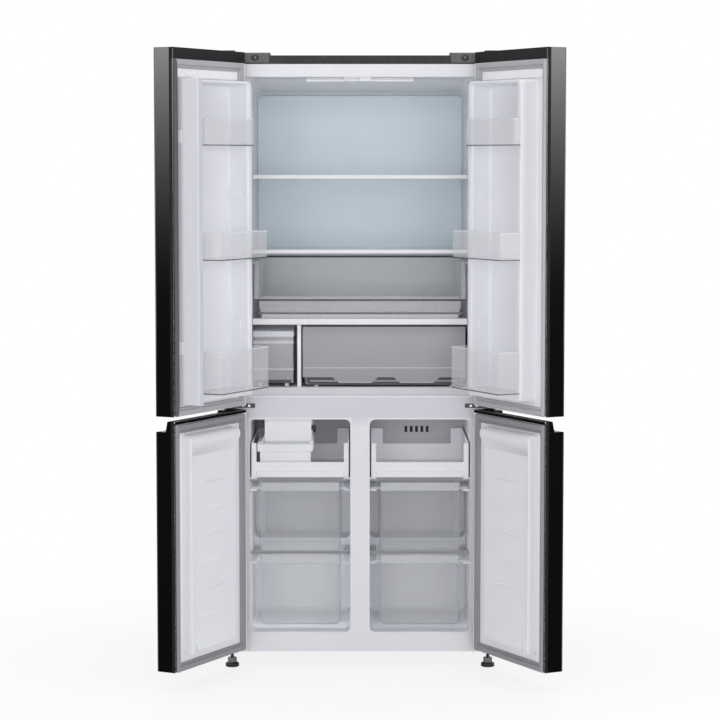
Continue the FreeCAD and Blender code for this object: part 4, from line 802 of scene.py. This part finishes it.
def upper_liner(side):
    """Fridge door liner: flat flange, raised ring round the bins, and the flap's lugs on the left."""
    mesh = flange("upper", side)
    inner = (10, DYKE_TOP_WALL - DYKE_WALL)  # corner radius, and less wall along the top
    rings = [
        dyke_foot(-5, -1, 19), dyke_foot(-4, 0.2, 18), dyke_foot(-1, 1.2, 15), dyke_foot(0, 4, 14),
        dyke_edge(2, 8, 14), dyke_edge(2.6, 3, 14), dyke_edge(4, 0.7, 13), dyke_edge(6, 0, 12),
    ]
    for drawn, below in ((-6, 0), (-3, 0.8), (-1, 3.5), (0, 8)):
        rings.append(dyke_edge(DYKE_WALL + drawn, below, *inner))
    for drawn, height in ((0.4, 9), (2, 4), (5, 1.8), (9, 1.0)):
        rings.append(dyke_foot(DYKE_WALL + drawn, height, *inner))
    loft(mesh, rings)
    for u in (DYKE_U[0] + DYKE_WALL - 1, DYKE_U[1] - DYKE_WALL - 5):
        for z in BOSS_Z:
            door_block(mesh, (u, u + 6), BOSS_H, (z - BOSS_HALF, z + BOSS_HALF), 2.0, 3)
    door_block(mesh, PLATEAU_U, (-1, PLATEAU_RISE), (PLATEAU_FOOT, PLATEAU_TOP), 2.5, 3)
    # The plateau is a brighter white, and the floor inside the ring a darker white of painted shade
    mesh.normal_update()
    for face in mesh.faces:
        middle = face.calc_center_median()
        height = (middle.y - door_at(0, 0, 0).y) / MM
        if middle.z > (PLATEAU_FOOT + 5) * MM and height > 0.2:
            face.material_index = 1
        elif 0.5 < height < 2 and face.normal.y > 0.9:
            face.material_index = 2
    if side == "left":
        for z in lug_levels():
            lug(mesh, z)
    looks = ["shelf_trim", "liner_painted_shade"]
    door_piece("upper", side, "liner_moulded", mesh, "liner", "liner_white", "liner", more_looks=looks)


def lug_levels():
    starts = (FLAP_Z[0] + LUG_END, FLAP_Z[1] - LUG_END - LUG_HEIGHT)
    return [(start, start + LUG_HEIGHT) for start in starts]


def lug(mesh, z):
    """Round-ended lug that carries the flap's pin."""
    u, h = FLAP_PIVOT
    outline = [(u - LUG_RADIUS, -1.0), (u + LUG_RADIUS, -1.0)]
    for step in range(13):
        angle = math.pi * step / 12
        outline.append((u + LUG_RADIUS * math.cos(angle), h + LUG_RADIUS * math.sin(angle)))
    door_prism(mesh, outline, z)


PANEL_U = (82.0, 360.5)
PANEL_Z = (104.0, 721.0)
PANEL_RIM = 16.0
PANEL_LEDGE = 28.0
LEDGE_SLOPE = 36.0
PANEL_FLOOR = PANEL_HEIGHT - PANEL_RECESS
RIDGE_CORNER = 16.0
RIB_SECTION = ((5.0, -1.0), (5.0, 0.0), (-1.5, 5.0), (-3.2, 4.2), (-4.0, -1.0))
RIB_U = (150.0, 285.0)
RIB_FIRST_Z = 202.0
RIB_PITCH = 75.6
RIB_COUNT = 6
PAD_U = (171.0, 314.0)
PAD_Z = (110.0, 137.0)


def panel_ring(drawn, height, radius):
    z = inset(PANEL_Z, drawn)
    return [door_at(p[0], height, p[1]) for p in rectangle(inset(PANEL_U, drawn), z, radius)]


def panel_ridge(mesh):
    """Ledge along the panel's top and rim down its free side, in one bar with a rounded corner.

    Points of the cross-section: distance from the top, distance from the free side, height."""
    low = PANEL_FLOOR
    high = PANEL_HEIGHT
    end = PANEL_LEDGE + LEDGE_SLOPE
    section = [
        (1.0, 2.0, low - 4), (2.0, 2.6, low + 2), (5.0, 3.4, high - 7), (9.0, 4.6, high - 2.5),
        (14.0, 6.5, high), (PANEL_LEDGE - 3, PANEL_RIM - 6, high), (PANEL_LEDGE, PANEL_RIM - 3.5, high - 1),
        (end - 4, PANEL_RIM + 3, low + 1), (end + 2, PANEL_RIM + 6, low - 1), (end, PANEL_RIM, low - 4),
    ]
    rings = [[door_at(PANEL_U[0] + 4, height, PANEL_Z[1] - top) for top, side, height in section]]
    for sine, cosine in quarter(6):
        ring = []
        for top, side, height in section:
            along = side if side > RIDGE_CORNER else RIDGE_CORNER - (RIDGE_CORNER - side) * sine
            down = top if top > RIDGE_CORNER else RIDGE_CORNER - (RIDGE_CORNER - top) * cosine
            ring.append(door_at(PANEL_U[1] - along, height, PANEL_Z[1] - down))
        rings.append(ring)
    rings.append([door_at(PANEL_U[1] - side, height, PANEL_Z[0] + 4) for top, side, height in section])
    loft(mesh, rings)
    weld(mesh, SEAM)


def rib(mesh, z, way):
    """Slim wedge that tapers at both ends; its long slope faces up where way is 1, else down."""
    rings = []
    steps = 14
    for step in range(steps + 1):
        part = 0.02 + 0.96 * step / steps
        swell = math.sin(math.pi * part) ** 0.4
        u = RIB_U[0] + (RIB_U[1] - RIB_U[0]) * part
        swollen = [(PANEL_FLOOR + rise * swell, z + way * off * swell) for off, rise in RIB_SECTION]
        rings.append([door_at(u, *point) for point in swollen])
    loft(mesh, rings)


def pad(mesh):
    """Low pad near the panel's foot whose face leans up."""
    foot, head = PAD_Z
    section = ((head, -1.0), (head, 0.4), (foot + 3, 12.0), (foot + 0.8, 11.0), (foot, -1.0))
    loft(mesh, [[door_at(u, PANEL_FLOOR + rise, z) for z, rise in section] for u in PAD_U])


def lower_liner(side):
    """Freezer door liner: flat flange, raised panel with a sloping ledge and a rim, slim ribs and a pad."""
    mesh = flange("lower", side)
    rings = [panel_ring(-5, -1, 21), panel_ring(-4, 0.2, 20), panel_ring(-1, 1.2, 17), panel_ring(0, 4, 16)]
    for drawn, rise, radius in ((1.5, -4, 16), (2.6, -1.2, 15.5), (4.5, -0.2, 15), (7, 0, 14)):
        rings.append(panel_ring(drawn, PANEL_FLOOR + rise, radius))
    loft(mesh, rings)
    panel_ridge(mesh)
    for row in range(RIB_COUNT):
        rib(mesh, RIB_FIRST_Z + row * RIB_PITCH, 1 if row % 2 == 0 else -1)
    pad(mesh)
    door_piece("lower", side, "liner_moulded", mesh, "liner", "liner_white", "liner")


GASKET_U = (18.0, DOOR_WIDTH - 2)
GASKET_WIDTHS = (24.0, 13.0)  # at the hinge side and at the free side
GASKET_END = 24.0  # width along the top and bottom
GASKET_PROFILE = (
    (0.0, 0.0), (0.0, 0.45), (0.05, 0.85), (0.14, 1.0), (0.5, 1.0), (0.6, 0.9), (0.65, 0.6), (0.7, 0.52),
    (0.76, 0.6), (0.82, 0.76), (0.9, 0.76), (0.97, 0.5), (1.0, 0.2), (1.0, 0.0),
)


def gasket(level, side):
    """Bellows gasket: a magnet ridge outside and a soft fold inside, mitred round the door."""
    rings = []
    for part, rise in GASKET_PROFILE:
        across = (GASKET_U[0] + GASKET_WIDTHS[0] * part, GASKET_U[1] - GASKET_WIDTHS[1] * part)
        upright = inset(GASKET_Z[level], GASKET_END * part)
        ring = rectangle(across, upright, 3.0 * (1 - part) + 0.5, 2)
        rings.append([door_at(u, rise * GASKET_HEIGHT, z) for u, z in ring])
    mesh = bmesh.new()
    loft(mesh, rings, loop=True)
    free_side = door_at(GASKET_U[1] - GASKET_WIDTHS[1] - 2, 0, 0).x
    for face in mesh.faces:
        face.material_index = 1 if face.calc_center_median().x > free_side else 0
    # The upper doors' gasket is a lighter copy of the same rubber: painted light
    look = "gasket_painted_light" if level == "upper" else "gasket"
    # On the upper left door the free side is a darker copy of the rubber: painted shade of the flap's shadow
    free = "gasket_painted_shade" if (level, side) == ("upper", "left") else look
    door_piece(level, side, "gasket_bellows", mesh, look, "gasket_grey", "gasket", more_looks=[free])


END_STRIP = 12.0  # dark inner part of a door's end
RETURN_H = (-3.0, 0.9)  # of the dark strips along a door's inner edges


def door_shell(level, side):
    """Front glass, softened end trims and caps with dark strips on the inner edges, and the foam core."""
    name = f"{level}_{side}_door"
    z = DOOR_Z[level]
    mesh = copied(f"{name}_front_panel")
    soften(mesh, 1.4, 3)
    piece(f"{name}_front_glass", mesh, "glass", name, "door_glass", f"{name}_front_panel")
    trims = "trims_and_caps"
    mesh = copied(f"{name}_{trims}", closing(side))
    soften(mesh, 0.8)
    strip = door_at(0, -END_STRIP, 0)
    everything = mesh.verts[:] + mesh.edges[:] + mesh.faces[:]
    bmesh.ops.bisect_plane(mesh, geom=everything, dist=SEAM, plane_co=strip, plane_no=(0, 1, 0))
    mesh.normal_update()
    for face in mesh.faces:
        on_end = face.normal.x > 0.3 and face.calc_center_median().y < strip.y
        face.material_index = 0 if on_end else 1
    door_block(mesh, (DOOR_WIDTH - 1.6, DOOR_WIDTH), RETURN_H, inset(z, 4), 0.3)
    if level == "lower":
        door_block(mesh, (2, DOOR_WIDTH - 1), RETURN_H, (z[1] - 9, z[1] - 0.3), 0.3)
    door_piece(level, side, "edge_trims", mesh, "door_end", "cap_grey", trims, more_looks=["cap"])
    mesh = bmesh.new()
    core = (-DOOR_THICKNESS + 4.2, -LINER - 0.2)
    door_block(mesh, (3, DOOR_WIDTH - 3), core, inset(z, CAP_HEIGHT + 1), 1.0)
    door_piece(level, side, "foam_core", mesh, "foam", "foam", "foam")


# Bottom, height and depth of each bin
BINS = {"top": (1521.0, 75.0, 73.0), "middle": (1205.0, 77.0, 116.0), "bottom": (835.0, 118.0, 119.0)}
BIN_WALL = 2.5
BIN_EDGE = 2.4
BIN_RIM = 3.0
BIN_GAP = 0.8  # between a bin and the ring's face


def bin_wall(mesh, z, depth):
    """Thin wall round a bin's front that starts on the ring's face."""
    front = inset(DYKE_U, 2.8)
    corners = []
    for side, end in ((front, depth), (inset(front, BIN_WALL)[::-1], depth - BIN_WALL)):
        starts = [dyke_face(u) + BIN_GAP for u in side]
        corners += [(side[0], starts[0]), (side[0], end), (side[1], end), (side[1], starts[1])]
    door_prism(mesh, rounded(corners, [0.6, 5, 5, 0.6, 0.6, 2.5, 2.5, 0.6], 4), z)


def bin_floor(mesh, z, end):
    """Floor that narrows between the ring's bars."""
    wide = inset(DYKE_U, 3.0 + BIN_WALL)
    narrow = inset(DYKE_U, DYKE_WALL + 2)
    hinge = [(u, dyke_face(u) + BIN_GAP) for u in (wide[0], narrow[0])]
    free = [(u, dyke_face(u) + BIN_GAP) for u in (narrow[1], wide[1])]
    plan = [(narrow[0], 5), (narrow[1], 5), *free, (wide[1], end), (wide[0], end), *hinge]
    door_prism(mesh, rounded(plan, [3, 3, 0.5, 0.5, 2, 2, 0.5, 0.5], 4), z)


def door_bins(side):
    """Clear bins, each with a dark line round its foot and a pale rim. Their backs are left to the CAD."""
    for name, (bottom, height, depth) in BINS.items():
        front = depth - 0.8
        levels = (bottom, bottom + BIN_EDGE, bottom + height - BIN_RIM, bottom + height)
        walls = [bmesh.new() for part in range(3)]
        for mesh, z in zip(walls, zip(levels, levels[1:])):
            bin_wall(mesh, z, front)
        bin_floor(walls[1], (bottom + 0.2, bottom + BIN_WALL), front - BIN_WALL - 0.2)
        door_piece("upper", side, f"{name}_bin_edge", walls[0], "dark", "clear_plastic")
        door_piece("upper", side, f"{name}_bin", walls[1], "bin", "clear_plastic", "bins")
        door_piece("upper", side, f"{name}_bin_rim", walls[2], "band", "clear_plastic")


def centre_flap():
    """Folded flap: a bar with rounded outer edges, notched for its lugs, and the guide pin on top."""
    notch_end = FLAP_PIVOT[1] + LUG_RADIUS + LUG_GAP
    places = [(FLAP_U[0], 1.6), (FLAP_U[0] + 1.6, 0.0)]
    for sine, cosine in quarter(5):
        places.append((FLAP_U[1] - FLAP_ROUND * (1 - sine), FLAP_ROUND * (1 - cosine)))
    rings = []
    for u, drawn in places:
        outer = FLAP_H[1] - drawn
        z = inset(FLAP_Z, drawn)
        outline = [(FLAP_H[0], z[0]), (outer, z[0]), (outer, z[1]), (FLAP_H[0], z[1])]
        for low, high in reversed(lug_levels()):
            for level in (high + LUG_GAP, low - LUG_GAP):
                corners = [(FLAP_H[0], level), (notch_end, level)]
                outline += corners if level > high else corners[::-1]
        rings.append([door_at(u, p[0], p[1]) for p in outline])
    mesh = bmesh.new()
    loft(mesh, rings)
    lathe(mesh, [(4, -1), (4, 6.8), (3, 8)], Matrix.Translation(door_at(*FLAP_PIN, FLAP_Z[1])), 20)
    hang(mesh, "left")
    piece("centre_flap_moulded", mesh, "flap", "centre_flap", "trim_white", "centre_flap")


# Fittings of the fridge and the ice maker

LENS_HEIGHT = 1.2
# x, d, z and edge radius of the ice maker's sensor and of the eye on its side
SENSOR = ((-143.5, -131.0), (58.0, 74.0), (689.0, 703.0), 1.0)
SENSOR_EYE = ((-131.5, -129.0), (60.0, 72.0), (692.0, 700.0), 0.8)


def lamp():
    """Lamp housing under the fridge's ceiling with a slim lens along its foot."""
    low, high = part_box("ceiling_lamp")
    split = low.z + LENS_HEIGHT * MM
    mesh = bmesh.new()
    solid_box(mesh, Vector((low.x, low.y, split)), high, 1.0)
    piece("ceiling_lamp_housing", mesh, "liner", "cabinet", "trim_white", "ceiling_lamp")
    edge = Vector((2 * MM, 1 * MM, 0))
    mesh = bmesh.new()
    solid_box(mesh, low + edge, Vector((high.x, high.y, split + 0.2 * MM)) - edge, 0.5, 3)
    piece("ceiling_lamp_lens", mesh, "lamp", "cabinet", "lamp_lens")


def fittings():
    softened("shelf_glass", "shelf_glass", "cabinet", "shelf_glass", 0.8)
    softened("shelf_trims", "shelf_trim", "cabinet", "trim_white", 1.4, 3)
    softened("drawer_partition", "trim", "cabinet", "trim_white", 2.0, 3)
    softened("flap_guide", "trim", "cabinet", "trim_white", 1.0)
    lamp()
    softened("ice_maker", "trim", "cabinet", "trim_white", 1.4, 3)
    blocks("ice_maker_sensor", "black", "cabinet", "black_plastic", SENSOR, SENSOR_EYE)


CRISPER_SILL = 1072.0  # top of the crisper's low front
FRONT_RAIL_X = (-312.0, 312.0)
BACK_RAIL_X = (-296.0, 296.0)
BACK_RAIL_Z = (1179.5, 1185.5)
SKIRT_X = (-290.0, 290.0)
SKIRT_Z = (1016.2, 1028.5)
POST_X = (299.0, 311.0)


def crisper():
    """Smoky clear tub, low in front, with dark rails, a dark foot line and pale side posts."""
    body = "upper_crisper"
    softened(body, "smoke", body, "clear_grey", 1.2)
    blocks("crisper_rail", "dark", body, "clear_grey",
           (FRONT_RAIL_X, (95.5, 99.0), (CRISPER_SILL - 4.5, CRISPER_SILL), 1.2, 3),
           (BACK_RAIL_X, (493.5, 497.2), BACK_RAIL_Z, 1.2, 3))
    mesh = bmesh.new()
    block(mesh, SKIRT_X, (97.2, 99.2), SKIRT_Z, 0.8)
    for sign in (-1, 1):
        a, b = [sign * x for x in POST_X]
        rings = []
        for front, back, z in ((97.5, 103.0, CRISPER_SILL), (135.0, 140.0, 1182.0)):
            rings.append([at(a, front, z), at(b, front, z), at(b, back, z), at(a, back, z)])
        loft(mesh, rings)
    piece("crisper_skirt_and_posts", mesh, "drawer_light", body, "clear_grey")
    mesh = bmesh.new()
    foot_line(mesh, (-297, 297), 96.6, 1031.0, 13.0, 11.0, 3.2)
    piece("crisper_foot_line", mesh, "dark", body, "clear_grey")


def foot_line(mesh, x, d, z, rise, radius, size):
    """Slim dark bead along the foot of a clear front, turning up at both ends."""
    path = [(x[0], z + rise)]
    path += [(x[0] + radius * (1 - cosine), z + radius * (1 - sine)) for sine, cosine in quarter(5)]
    path += [(x[0] + x[1] - px, pz) for px, pz in reversed(path)]
    rings = []
    for i, (px, pz) in enumerate(path):
        before = Vector(path[max(i - 1, 0)])
        after = Vector(path[min(i + 1, len(path) - 1)])
        way = (after - before).normalized()
        side = Vector((-way.y, way.x)) * size / 2
        ring = []
        for out, back in ((1, -1), (1, 1), (-1, 1), (-1, -1)):
            ring.append(at(px + side.x * out, d + back * size / 2, pz + side.y * out))
        rings.append(ring)
    loft(mesh, rings)


DRAWER_X = (-170.0, 312.0)
DRAWER_FRONT = 116.0
DRAWER_TUB_D = (DRAWER_FRONT + 13, 510.0)
DRAWER_TUB_Z = (815.0, 985.0)
DRAWER_FACE_Z = (839.0, 990.0)
DRAWER_FOOT = 820.0
FINGER_LIPS = ((-83.0, 55.0), (99.0, 238.0))
LIP_EDGE = ((0, 841.0), (3, 838.0), (17, 826.0), (20, 823.0))  # drawn in, and height
RECESS_BAR_Z = (826.0, 831.0)
LIGHT_LINE_Z = (866.0, 869.0)
LIP_HIGHLIGHT_Z = (822.8, 826.4)


def lower_drawer():
    """Grey drawer: a tub, and a face with two finger lips hanging over a dark recess, whose near-black back
    plate is painted shade.
    """
    body = "lower_drawer"
    mesh = bmesh.new()
    box_tub(mesh, inset(DRAWER_X, 6), DRAWER_TUB_D, DRAWER_TUB_Z, 3.0, 6.0)
    piece("lower_drawer_tub", mesh, "drawer", body, "drawer_grey", body)
    # The recess's near-black back plate is painted shade
    mesh = bmesh.new()
    plate = rectangle(inset(DRAWER_X, 12), (DRAWER_FOOT, DRAWER_FACE_Z[0] + 4), [10, 10, 1, 1])
    front_prism(mesh, plate, (DRAWER_FRONT + 6, DRAWER_FRONT + 14))
    piece("lower_drawer_recess", mesh, "recess", body, "drawer_grey")
    mesh = bmesh.new()
    block(mesh, DRAWER_X, (DRAWER_FRONT, DRAWER_FRONT + 8.2), DRAWER_FACE_Z, 1.5, 3)
    for start, end in FINGER_LIPS:
        left = [(start + drawn, z) for drawn, z in LIP_EDGE]
        right = [(end - drawn, z) for drawn, z in reversed(LIP_EDGE)]
        front_prism(mesh, left + right, (DRAWER_FRONT + 0.4, DRAWER_FRONT + 3.4))
    block(mesh, inset(DRAWER_X, 22), (DRAWER_FRONT + 4.5, DRAWER_FRONT + 7), RECESS_BAR_Z, 0.8)
    piece("lower_drawer_face", mesh, "drawer", body, "drawer_grey")
    # The pale lines along the lips' feet are painted highlights on their rounded lower edges
    lines = [(inset(DRAWER_X, 4), (DRAWER_FRONT - 0.7, DRAWER_FRONT + 1), LIGHT_LINE_Z, 0.6)]
    for lip in FINGER_LIPS:
        lines.append((inset(lip, 19), (DRAWER_FRONT + 0.2, DRAWER_FRONT + 3.6), LIP_HIGHLIGHT_Z, 1.0, 3))
    blocks("lower_drawer_light_line", "drawer_light", body, "drawer_grey", *lines)


TANK_X = (-316.0, -197.0)
TANK_D = (118.0, 418.0)
TANK_Z = (822.0, 959.0)
TANK_LID_Z = (958.5, 977.5)
TANK_GRIP_Z = (823.5, 832.0)


def water_tank():
    body = "water_tank"
    mesh = bmesh.new()
    box_tub(mesh, TANK_X, TANK_D, TANK_Z, 2.5, 4.0, foot=3.0, lip=0.3, lip_height=2.0)
    piece("water_tank_finished", mesh, "tank", body, "clear_grey", body)
    lid = (inset(TANK_X, -1), inset(TANK_D, -1), TANK_LID_Z, 3.0, 3)
    blocks("water_tank_lid", "flap", body, "trim_white", lid)
    around = (inset(TANK_X, -0.5), (TANK_D[0] - 0.8, TANK_D[1] + 0.5))
    bands = [(*around, (938.0, 948.0), 1.5), (*around, (860.0, 866.0), 1.0)]
    blocks("water_tank_bands", "drawer_light", body, "clear_grey", *bands)
    # The grip slot is a near-black block: painted shade of the slot's hollow
    grip = (inset(TANK_X, 6), (TANK_D[0] - 1.2, TANK_D[0] + 1.5), TANK_GRIP_Z, 1.0)
    blocks("water_tank_grip", "recess", body, "clear_grey", grip)


# Freezer fittings, given for the right side

FREEZER_DRAWER_Z = {"upper": (333.0, 536.0), "lower": (114.0, 320.0)}
TUB_X = (57.5, 294.0)
RIM_X = (32.5, 319.0)
BAND_D = (34.0, 44.2)
BAND_HEIGHT = 25.0


def freezer_drawer(level, side):
    """Clear drawer: rounded tub, side rims on the runners, a frosted band across the front and a dark foot
    line of painted shade.
    """
    sign = 1 if side == "right" else -1
    body = f"{level}_{side}_freezer_drawer"
    z = FREEZER_DRAWER_Z[level]
    back = FREEZER_DRAWER_BACK[level]
    rim = (z[1] - 19, z[1] - 14)

    def rims(overlap):
        """Spans of both rims, reaching into the tub by the overlap."""
        spans = ((RIM_X[0], TUB_X[0] + overlap), (TUB_X[1] - overlap, RIM_X[1]))
        return [on_side(sign, span) for span in spans]

    mesh = bmesh.new()
    box_tub(mesh, on_side(sign, TUB_X), (TUB_FRONT, back), z, 3.0, 12.0, foot=16.0, lip=0.8, lip_height=4.0)
    for x in rims(0.2):
        block(mesh, x, (TUB_FRONT, back - 2), rim, 1.2)
    piece(f"{body}_tub", mesh, "freezer_bin", body, "clear_plastic", body)
    band = [(on_side(sign, inset(TUB_X, 3)), BAND_D, (z[1] - BAND_HEIGHT, z[1]), 2.5, 3)]
    band += [(x, BAND_D, rim, 1.2) for x in rims(3.5)]
    blocks(f"{body}_band", "band", body, "clear_plastic", *band)
    # The dark line along the tub's foot is painted shade for the gap under the drawer
    mesh = bmesh.new()
    foot_line(mesh, on_side(sign, inset(TUB_X, 1)), BAND_D[1], z[0] + 1.2, 60.0, 15.0, 1.6)
    piece(f"{body}_foot_line", mesh, "drawer", body, "clear_plastic")


# Hinges, feet and the CAD nodes that only get a look

BRACKET_SPLIT = 400.0  # between the bottom brackets and the others
HINGE_FRONT_X = (262.0, 392.0)
HINGE_FRONT_D = (-3.0, 4.0)
HINGE_FRONT_Z = (1760.0, 1789.5)
HINGE_SCREW_X = 303.0
# Radius and height along turned profiles
POCKET = ((8, -0.6), (9, 0.0), (9, 0.3), (7.5, 0.5), (6.5, 0.2))
POCKET_STRETCH = 1.3
SCREW = ((4.2, 0.1), (4.2, 0.9), (3.4, 1.6), (1.6, 1.9), (1.2, 1.3))
FOOT_PAD = ((17.5, 0), (20, 2), (20, 4.2), (18.8, 4.8), (18.8, 5.6), (20, 6.2), (20, 9), (17, 12), (10, 13))
FOOT_NUT = ((13, 12), (13, 26), (12, 27.5), (5, 27.5))
THREAD_START = 21.0
THREAD_PITCH = 1.25
THREAD_ROOT = 4.2
THREAD_CREST = 5.0
PAINTED = {
    "front_frame": "front", "back_panel": "steel", "base_pan": "steel", "machine_base": "steel",
    "machine_cover": "steel", "cabinet_foam": "foam", "hinge_screws": "steel", "rear_rollers": "dark",
    "evaporator": "aluminium", "fan_motors": "dark", "compressor": "compressor", "condenser_coil": "copper",
    "evaporator_fan": "dark", "condenser_fan": "dark",
}


def hinges():
    for name, look in (("lower", "front"), ("upper", "dark")):
        mesh = copied("hinge_brackets")
        other = [v for v in mesh.verts if (v.co.z > BRACKET_SPLIT * MM) == (name == "lower")]
        bmesh.ops.delete(mesh, geom=other, context="VERTS")
        soften(mesh, 0.6)
        piece(f"hinge_brackets_{name}", mesh, look, "cabinet", "hinge_steel", "hinge_brackets")
    softened("hinge_covers", "hinge_cap", "cabinet", "cap_grey", 0.9, 3)
    for side, sign in (("left", -1), ("right", 1)):
        hinge_front(f"{side}_hinge_cover", sign)


def hinge_front(name, sign):
    """Front of a top hinge cover, with a dark oval pocket and a screw in it."""
    front = (on_side(sign, HINGE_FRONT_X), HINGE_FRONT_D, HINGE_FRONT_Z, 2.5, 3)
    blocks(f"{name}_front", "hinge_cap", "cabinet", "cap_grey", front)
    centre = at(sign * HINGE_SCREW_X, HINGE_FRONT_D[0], sum(HINGE_FRONT_Z) / 2)
    outward = Matrix.Translation(centre) @ Matrix.Rotation(math.pi / 2, 4, "X")
    mesh = bmesh.new()
    lathe(mesh, POCKET, outward @ Matrix.Diagonal((POCKET_STRETCH, 1, 1, 1)))
    piece(f"{name}_pocket", mesh, "black", "cabinet", "black_plastic")
    mesh = bmesh.new()
    lathe(mesh, SCREW, outward, 20)
    piece(f"{name}_screw", mesh, "hinge", "cabinet", "hinge_steel")


def foot(node):
    """Levelling foot: a round pad, a nut and a threaded stem."""
    low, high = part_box(node)
    middle = (low + high) / 2
    place = Matrix.Translation((middle.x, middle.y, 0))
    mesh = bmesh.new()
    lathe(mesh, FOOT_PAD, place)
    piece(f"{node}_pad", mesh, "black", node, "black_plastic", node)
    mesh = bmesh.new()
    lathe(mesh, FOOT_NUT, place, 6)
    top = high.z / MM
    height = THREAD_START
    thread = [(THREAD_ROOT, height - 0.5)]
    while height < top - 1.5:
        thread += [(THREAD_CREST, height + 0.5), (THREAD_ROOT, height + THREAD_PITCH)]
        height += THREAD_PITCH
    thread += [(THREAD_ROOT, top - 0.2), (3.6, top)]
    lathe(mesh, thread, place, 24)
    piece(f"{node}_stem", mesh, "hinge", node, "hinge_steel")


# Stage

CAMERA_DISTANCE = 7207.0  # in front of the cabinet
CAMERA_HEIGHT = 1482.7
CAMERA_PITCH = 4.62
CAMERA_LENS = 124.1
CAMERA_SENSOR = 36.0
WORLD_LIGHT = 0.12
FLOOR_RADIUS = 40.0  # metres
FLOOR_DROP = 0.0005  # metres


def camera():
    data = bpy.data.cameras.new("camera")
    data.lens = CAMERA_LENS
    data.sensor_width = CAMERA_SENSOR
    made = placed("camera", data)
    made.location = at(0, -CAMERA_DISTANCE, CAMERA_HEIGHT)
    made.rotation_euler = (math.radians(90 - CAMERA_PITCH), 0, 0)
    bpy.context.scene.camera = made


def area_light(name, place, target, size, power):
    """Light with its place, target and size in metres and its power in watts."""
    data = bpy.data.lights.new(name, "AREA")
    data.shape = "RECTANGLE"
    data.size, data.size_y = size
    data.energy = power
    made = placed(name, data)
    made.location = Vector(place)
    made.rotation_euler = (Vector(target) - Vector(place)).to_track_quat("-Z", "Y").to_euler()
    return made


def seen_directly(tree):
    """1 for what the camera, a mirror or glass sees of the background."""
    path = tree.nodes.new("ShaderNodeLightPath").outputs
    total = path["Is Camera Ray"]
    for name in ("Is Glossy Ray", "Is Transmission Ray"):
        total = calculated(tree, "MAXIMUM", total, path[name])
    return total


def world():
    scene_world = bpy.data.worlds.new("studio")
    scene_world.use_nodes = True
    bpy.context.scene.world = scene_world
    tree = scene_world.node_tree
    background = tree.nodes["Background"]
    background.inputs["Color"].default_value = (1, 1, 1, 1)
    strength = tree.nodes.new("ShaderNodeMapRange")
    strength.inputs["To Min"].default_value = WORLD_LIGHT
    strength.inputs["To Max"].default_value = 1.0
    tree.links.new(seen_directly(tree), strength.inputs["Value"])
    tree.links.new(strength.outputs["Result"], background.inputs["Strength"])


def floor():
    """Pale floor that turns into the white background away from the object."""
    look = Look("pale_floor")
    look.colour(look.blend(look.noise(3.0), (0.86, 0.86, 0.865), (0.9, 0.9, 0.9)))
    look.roughness(look.between(look.noise(20.0), 0.6, 0.7))
    glow = look.node("ShaderNodeEmission", Color=(1, 1, 1, 1), Strength=1.0)
    length = look.node("ShaderNodeVectorMath")
    length.operation = "LENGTH"
    look.link(look.place, length.inputs[0])
    far = look.between(length.outputs["Value"], 0.8, 1.0, 0.5, 1.7)
    seen = calculated(look.tree, "MULTIPLY", far, seen_directly(look.tree))
    mix = look.node("ShaderNodeMixShader")
    for source, socket in zip((seen, look.shader.outputs[0], glow.outputs[0]), mix.inputs):
        look.link(source, socket)
    look.link(mix.outputs[0], look.tree.nodes["Material Output"].inputs["Surface"])
    mesh = bmesh.new()
    bmesh.ops.create_grid(mesh, x_segments=8, y_segments=8, size=FLOOR_RADIUS)
    data = bpy.data.meshes.new("floor")
    mesh.to_mesh(data)
    mesh.free()
    data.materials.append(look.material)
    made = placed("floor", data)
    made.location.z = -FLOOR_DROP


def room_light(name, x, z, d, power):
    """Soft fill for one room of the cabinet, shining in from its opening and not seen itself."""
    middle = at(sum(x) / 2, d, sum(z) / 2)
    size = ((x[1] - x[0]) * MM, (z[1] - z[0]) * MM)
    unseen(area_light(name, middle, middle + Vector((0, 1, 0)), size, power))


def unseen(light):
    light.visible_camera = False
    light.visible_glossy = False


def lights():
    area_light("front", (0, -7.6, 1.9), (0, 0, 1.0), (5.0, 3.0), 182)
    area_light("left", (-4.6, -2.6, 1.9), (0.45, -0.35, 1.0), (1.6, 2.6), 39)
    area_light("right", (4.6, -2.6, 1.9), (-0.45, -0.35, 1.0), (1.6, 2.6), 62)
    area_light("top", (0, -0.5, 5.2), (0, -0.5, 0), (6.0, 6.0), 170)
    area_light("back", (0.5, 5.5, 2.6), (0, 0, 1.0), (4.0, 2.5), 110)
    room_light("fridge_fill", (-300, 300), (830, 1690), 138, 0.52)
    over_sill = at(0, 50, 988)
    unseen(area_light("sill_fill", over_sill, over_sill - Vector((0, 0, 1)), (0.6, 0.06), 0.12))
    for x, power in (((40, 312), 0.5), ((-312, -40), 0.75)):
        room_light("freezer_fill", x, (110, 720), 60, power)


camera()
world()
floor()
lights()
bpy.context.scene.view_settings.view_transform = "Standard"

softened("outer_case", "case", "cabinet", "case_grey", 0.3)
fridge_liner()
freezer_liner()
freezer_shade_rails()
duct_panel()
freezer_covers()
fittings()
crisper()
lower_drawer()
water_tank()
for tray in ("right_top_tray", "left_top_tray"):
    softened(tray, "trim", tray, "trim_white", 1.3, 3)
for drawer_side in ("left", "right"):
    for drawer_level in ("upper", "lower"):
        freezer_drawer(drawer_level, drawer_side)
for door_side in ("left", "right"):
    for make in (gasket, door_shell):
        for door_level in ("upper", "lower"):
            make(door_level, door_side)
    upper_liner(door_side)
    lower_liner(door_side)
    door_bins(door_side)
centre_flap()
hinges()
for front_foot in ("left_front_foot", "right_front_foot"):
    foot(front_foot)
for painted_node, painted_look in PAINTED.items():
    paint(painted_node, painted_look)
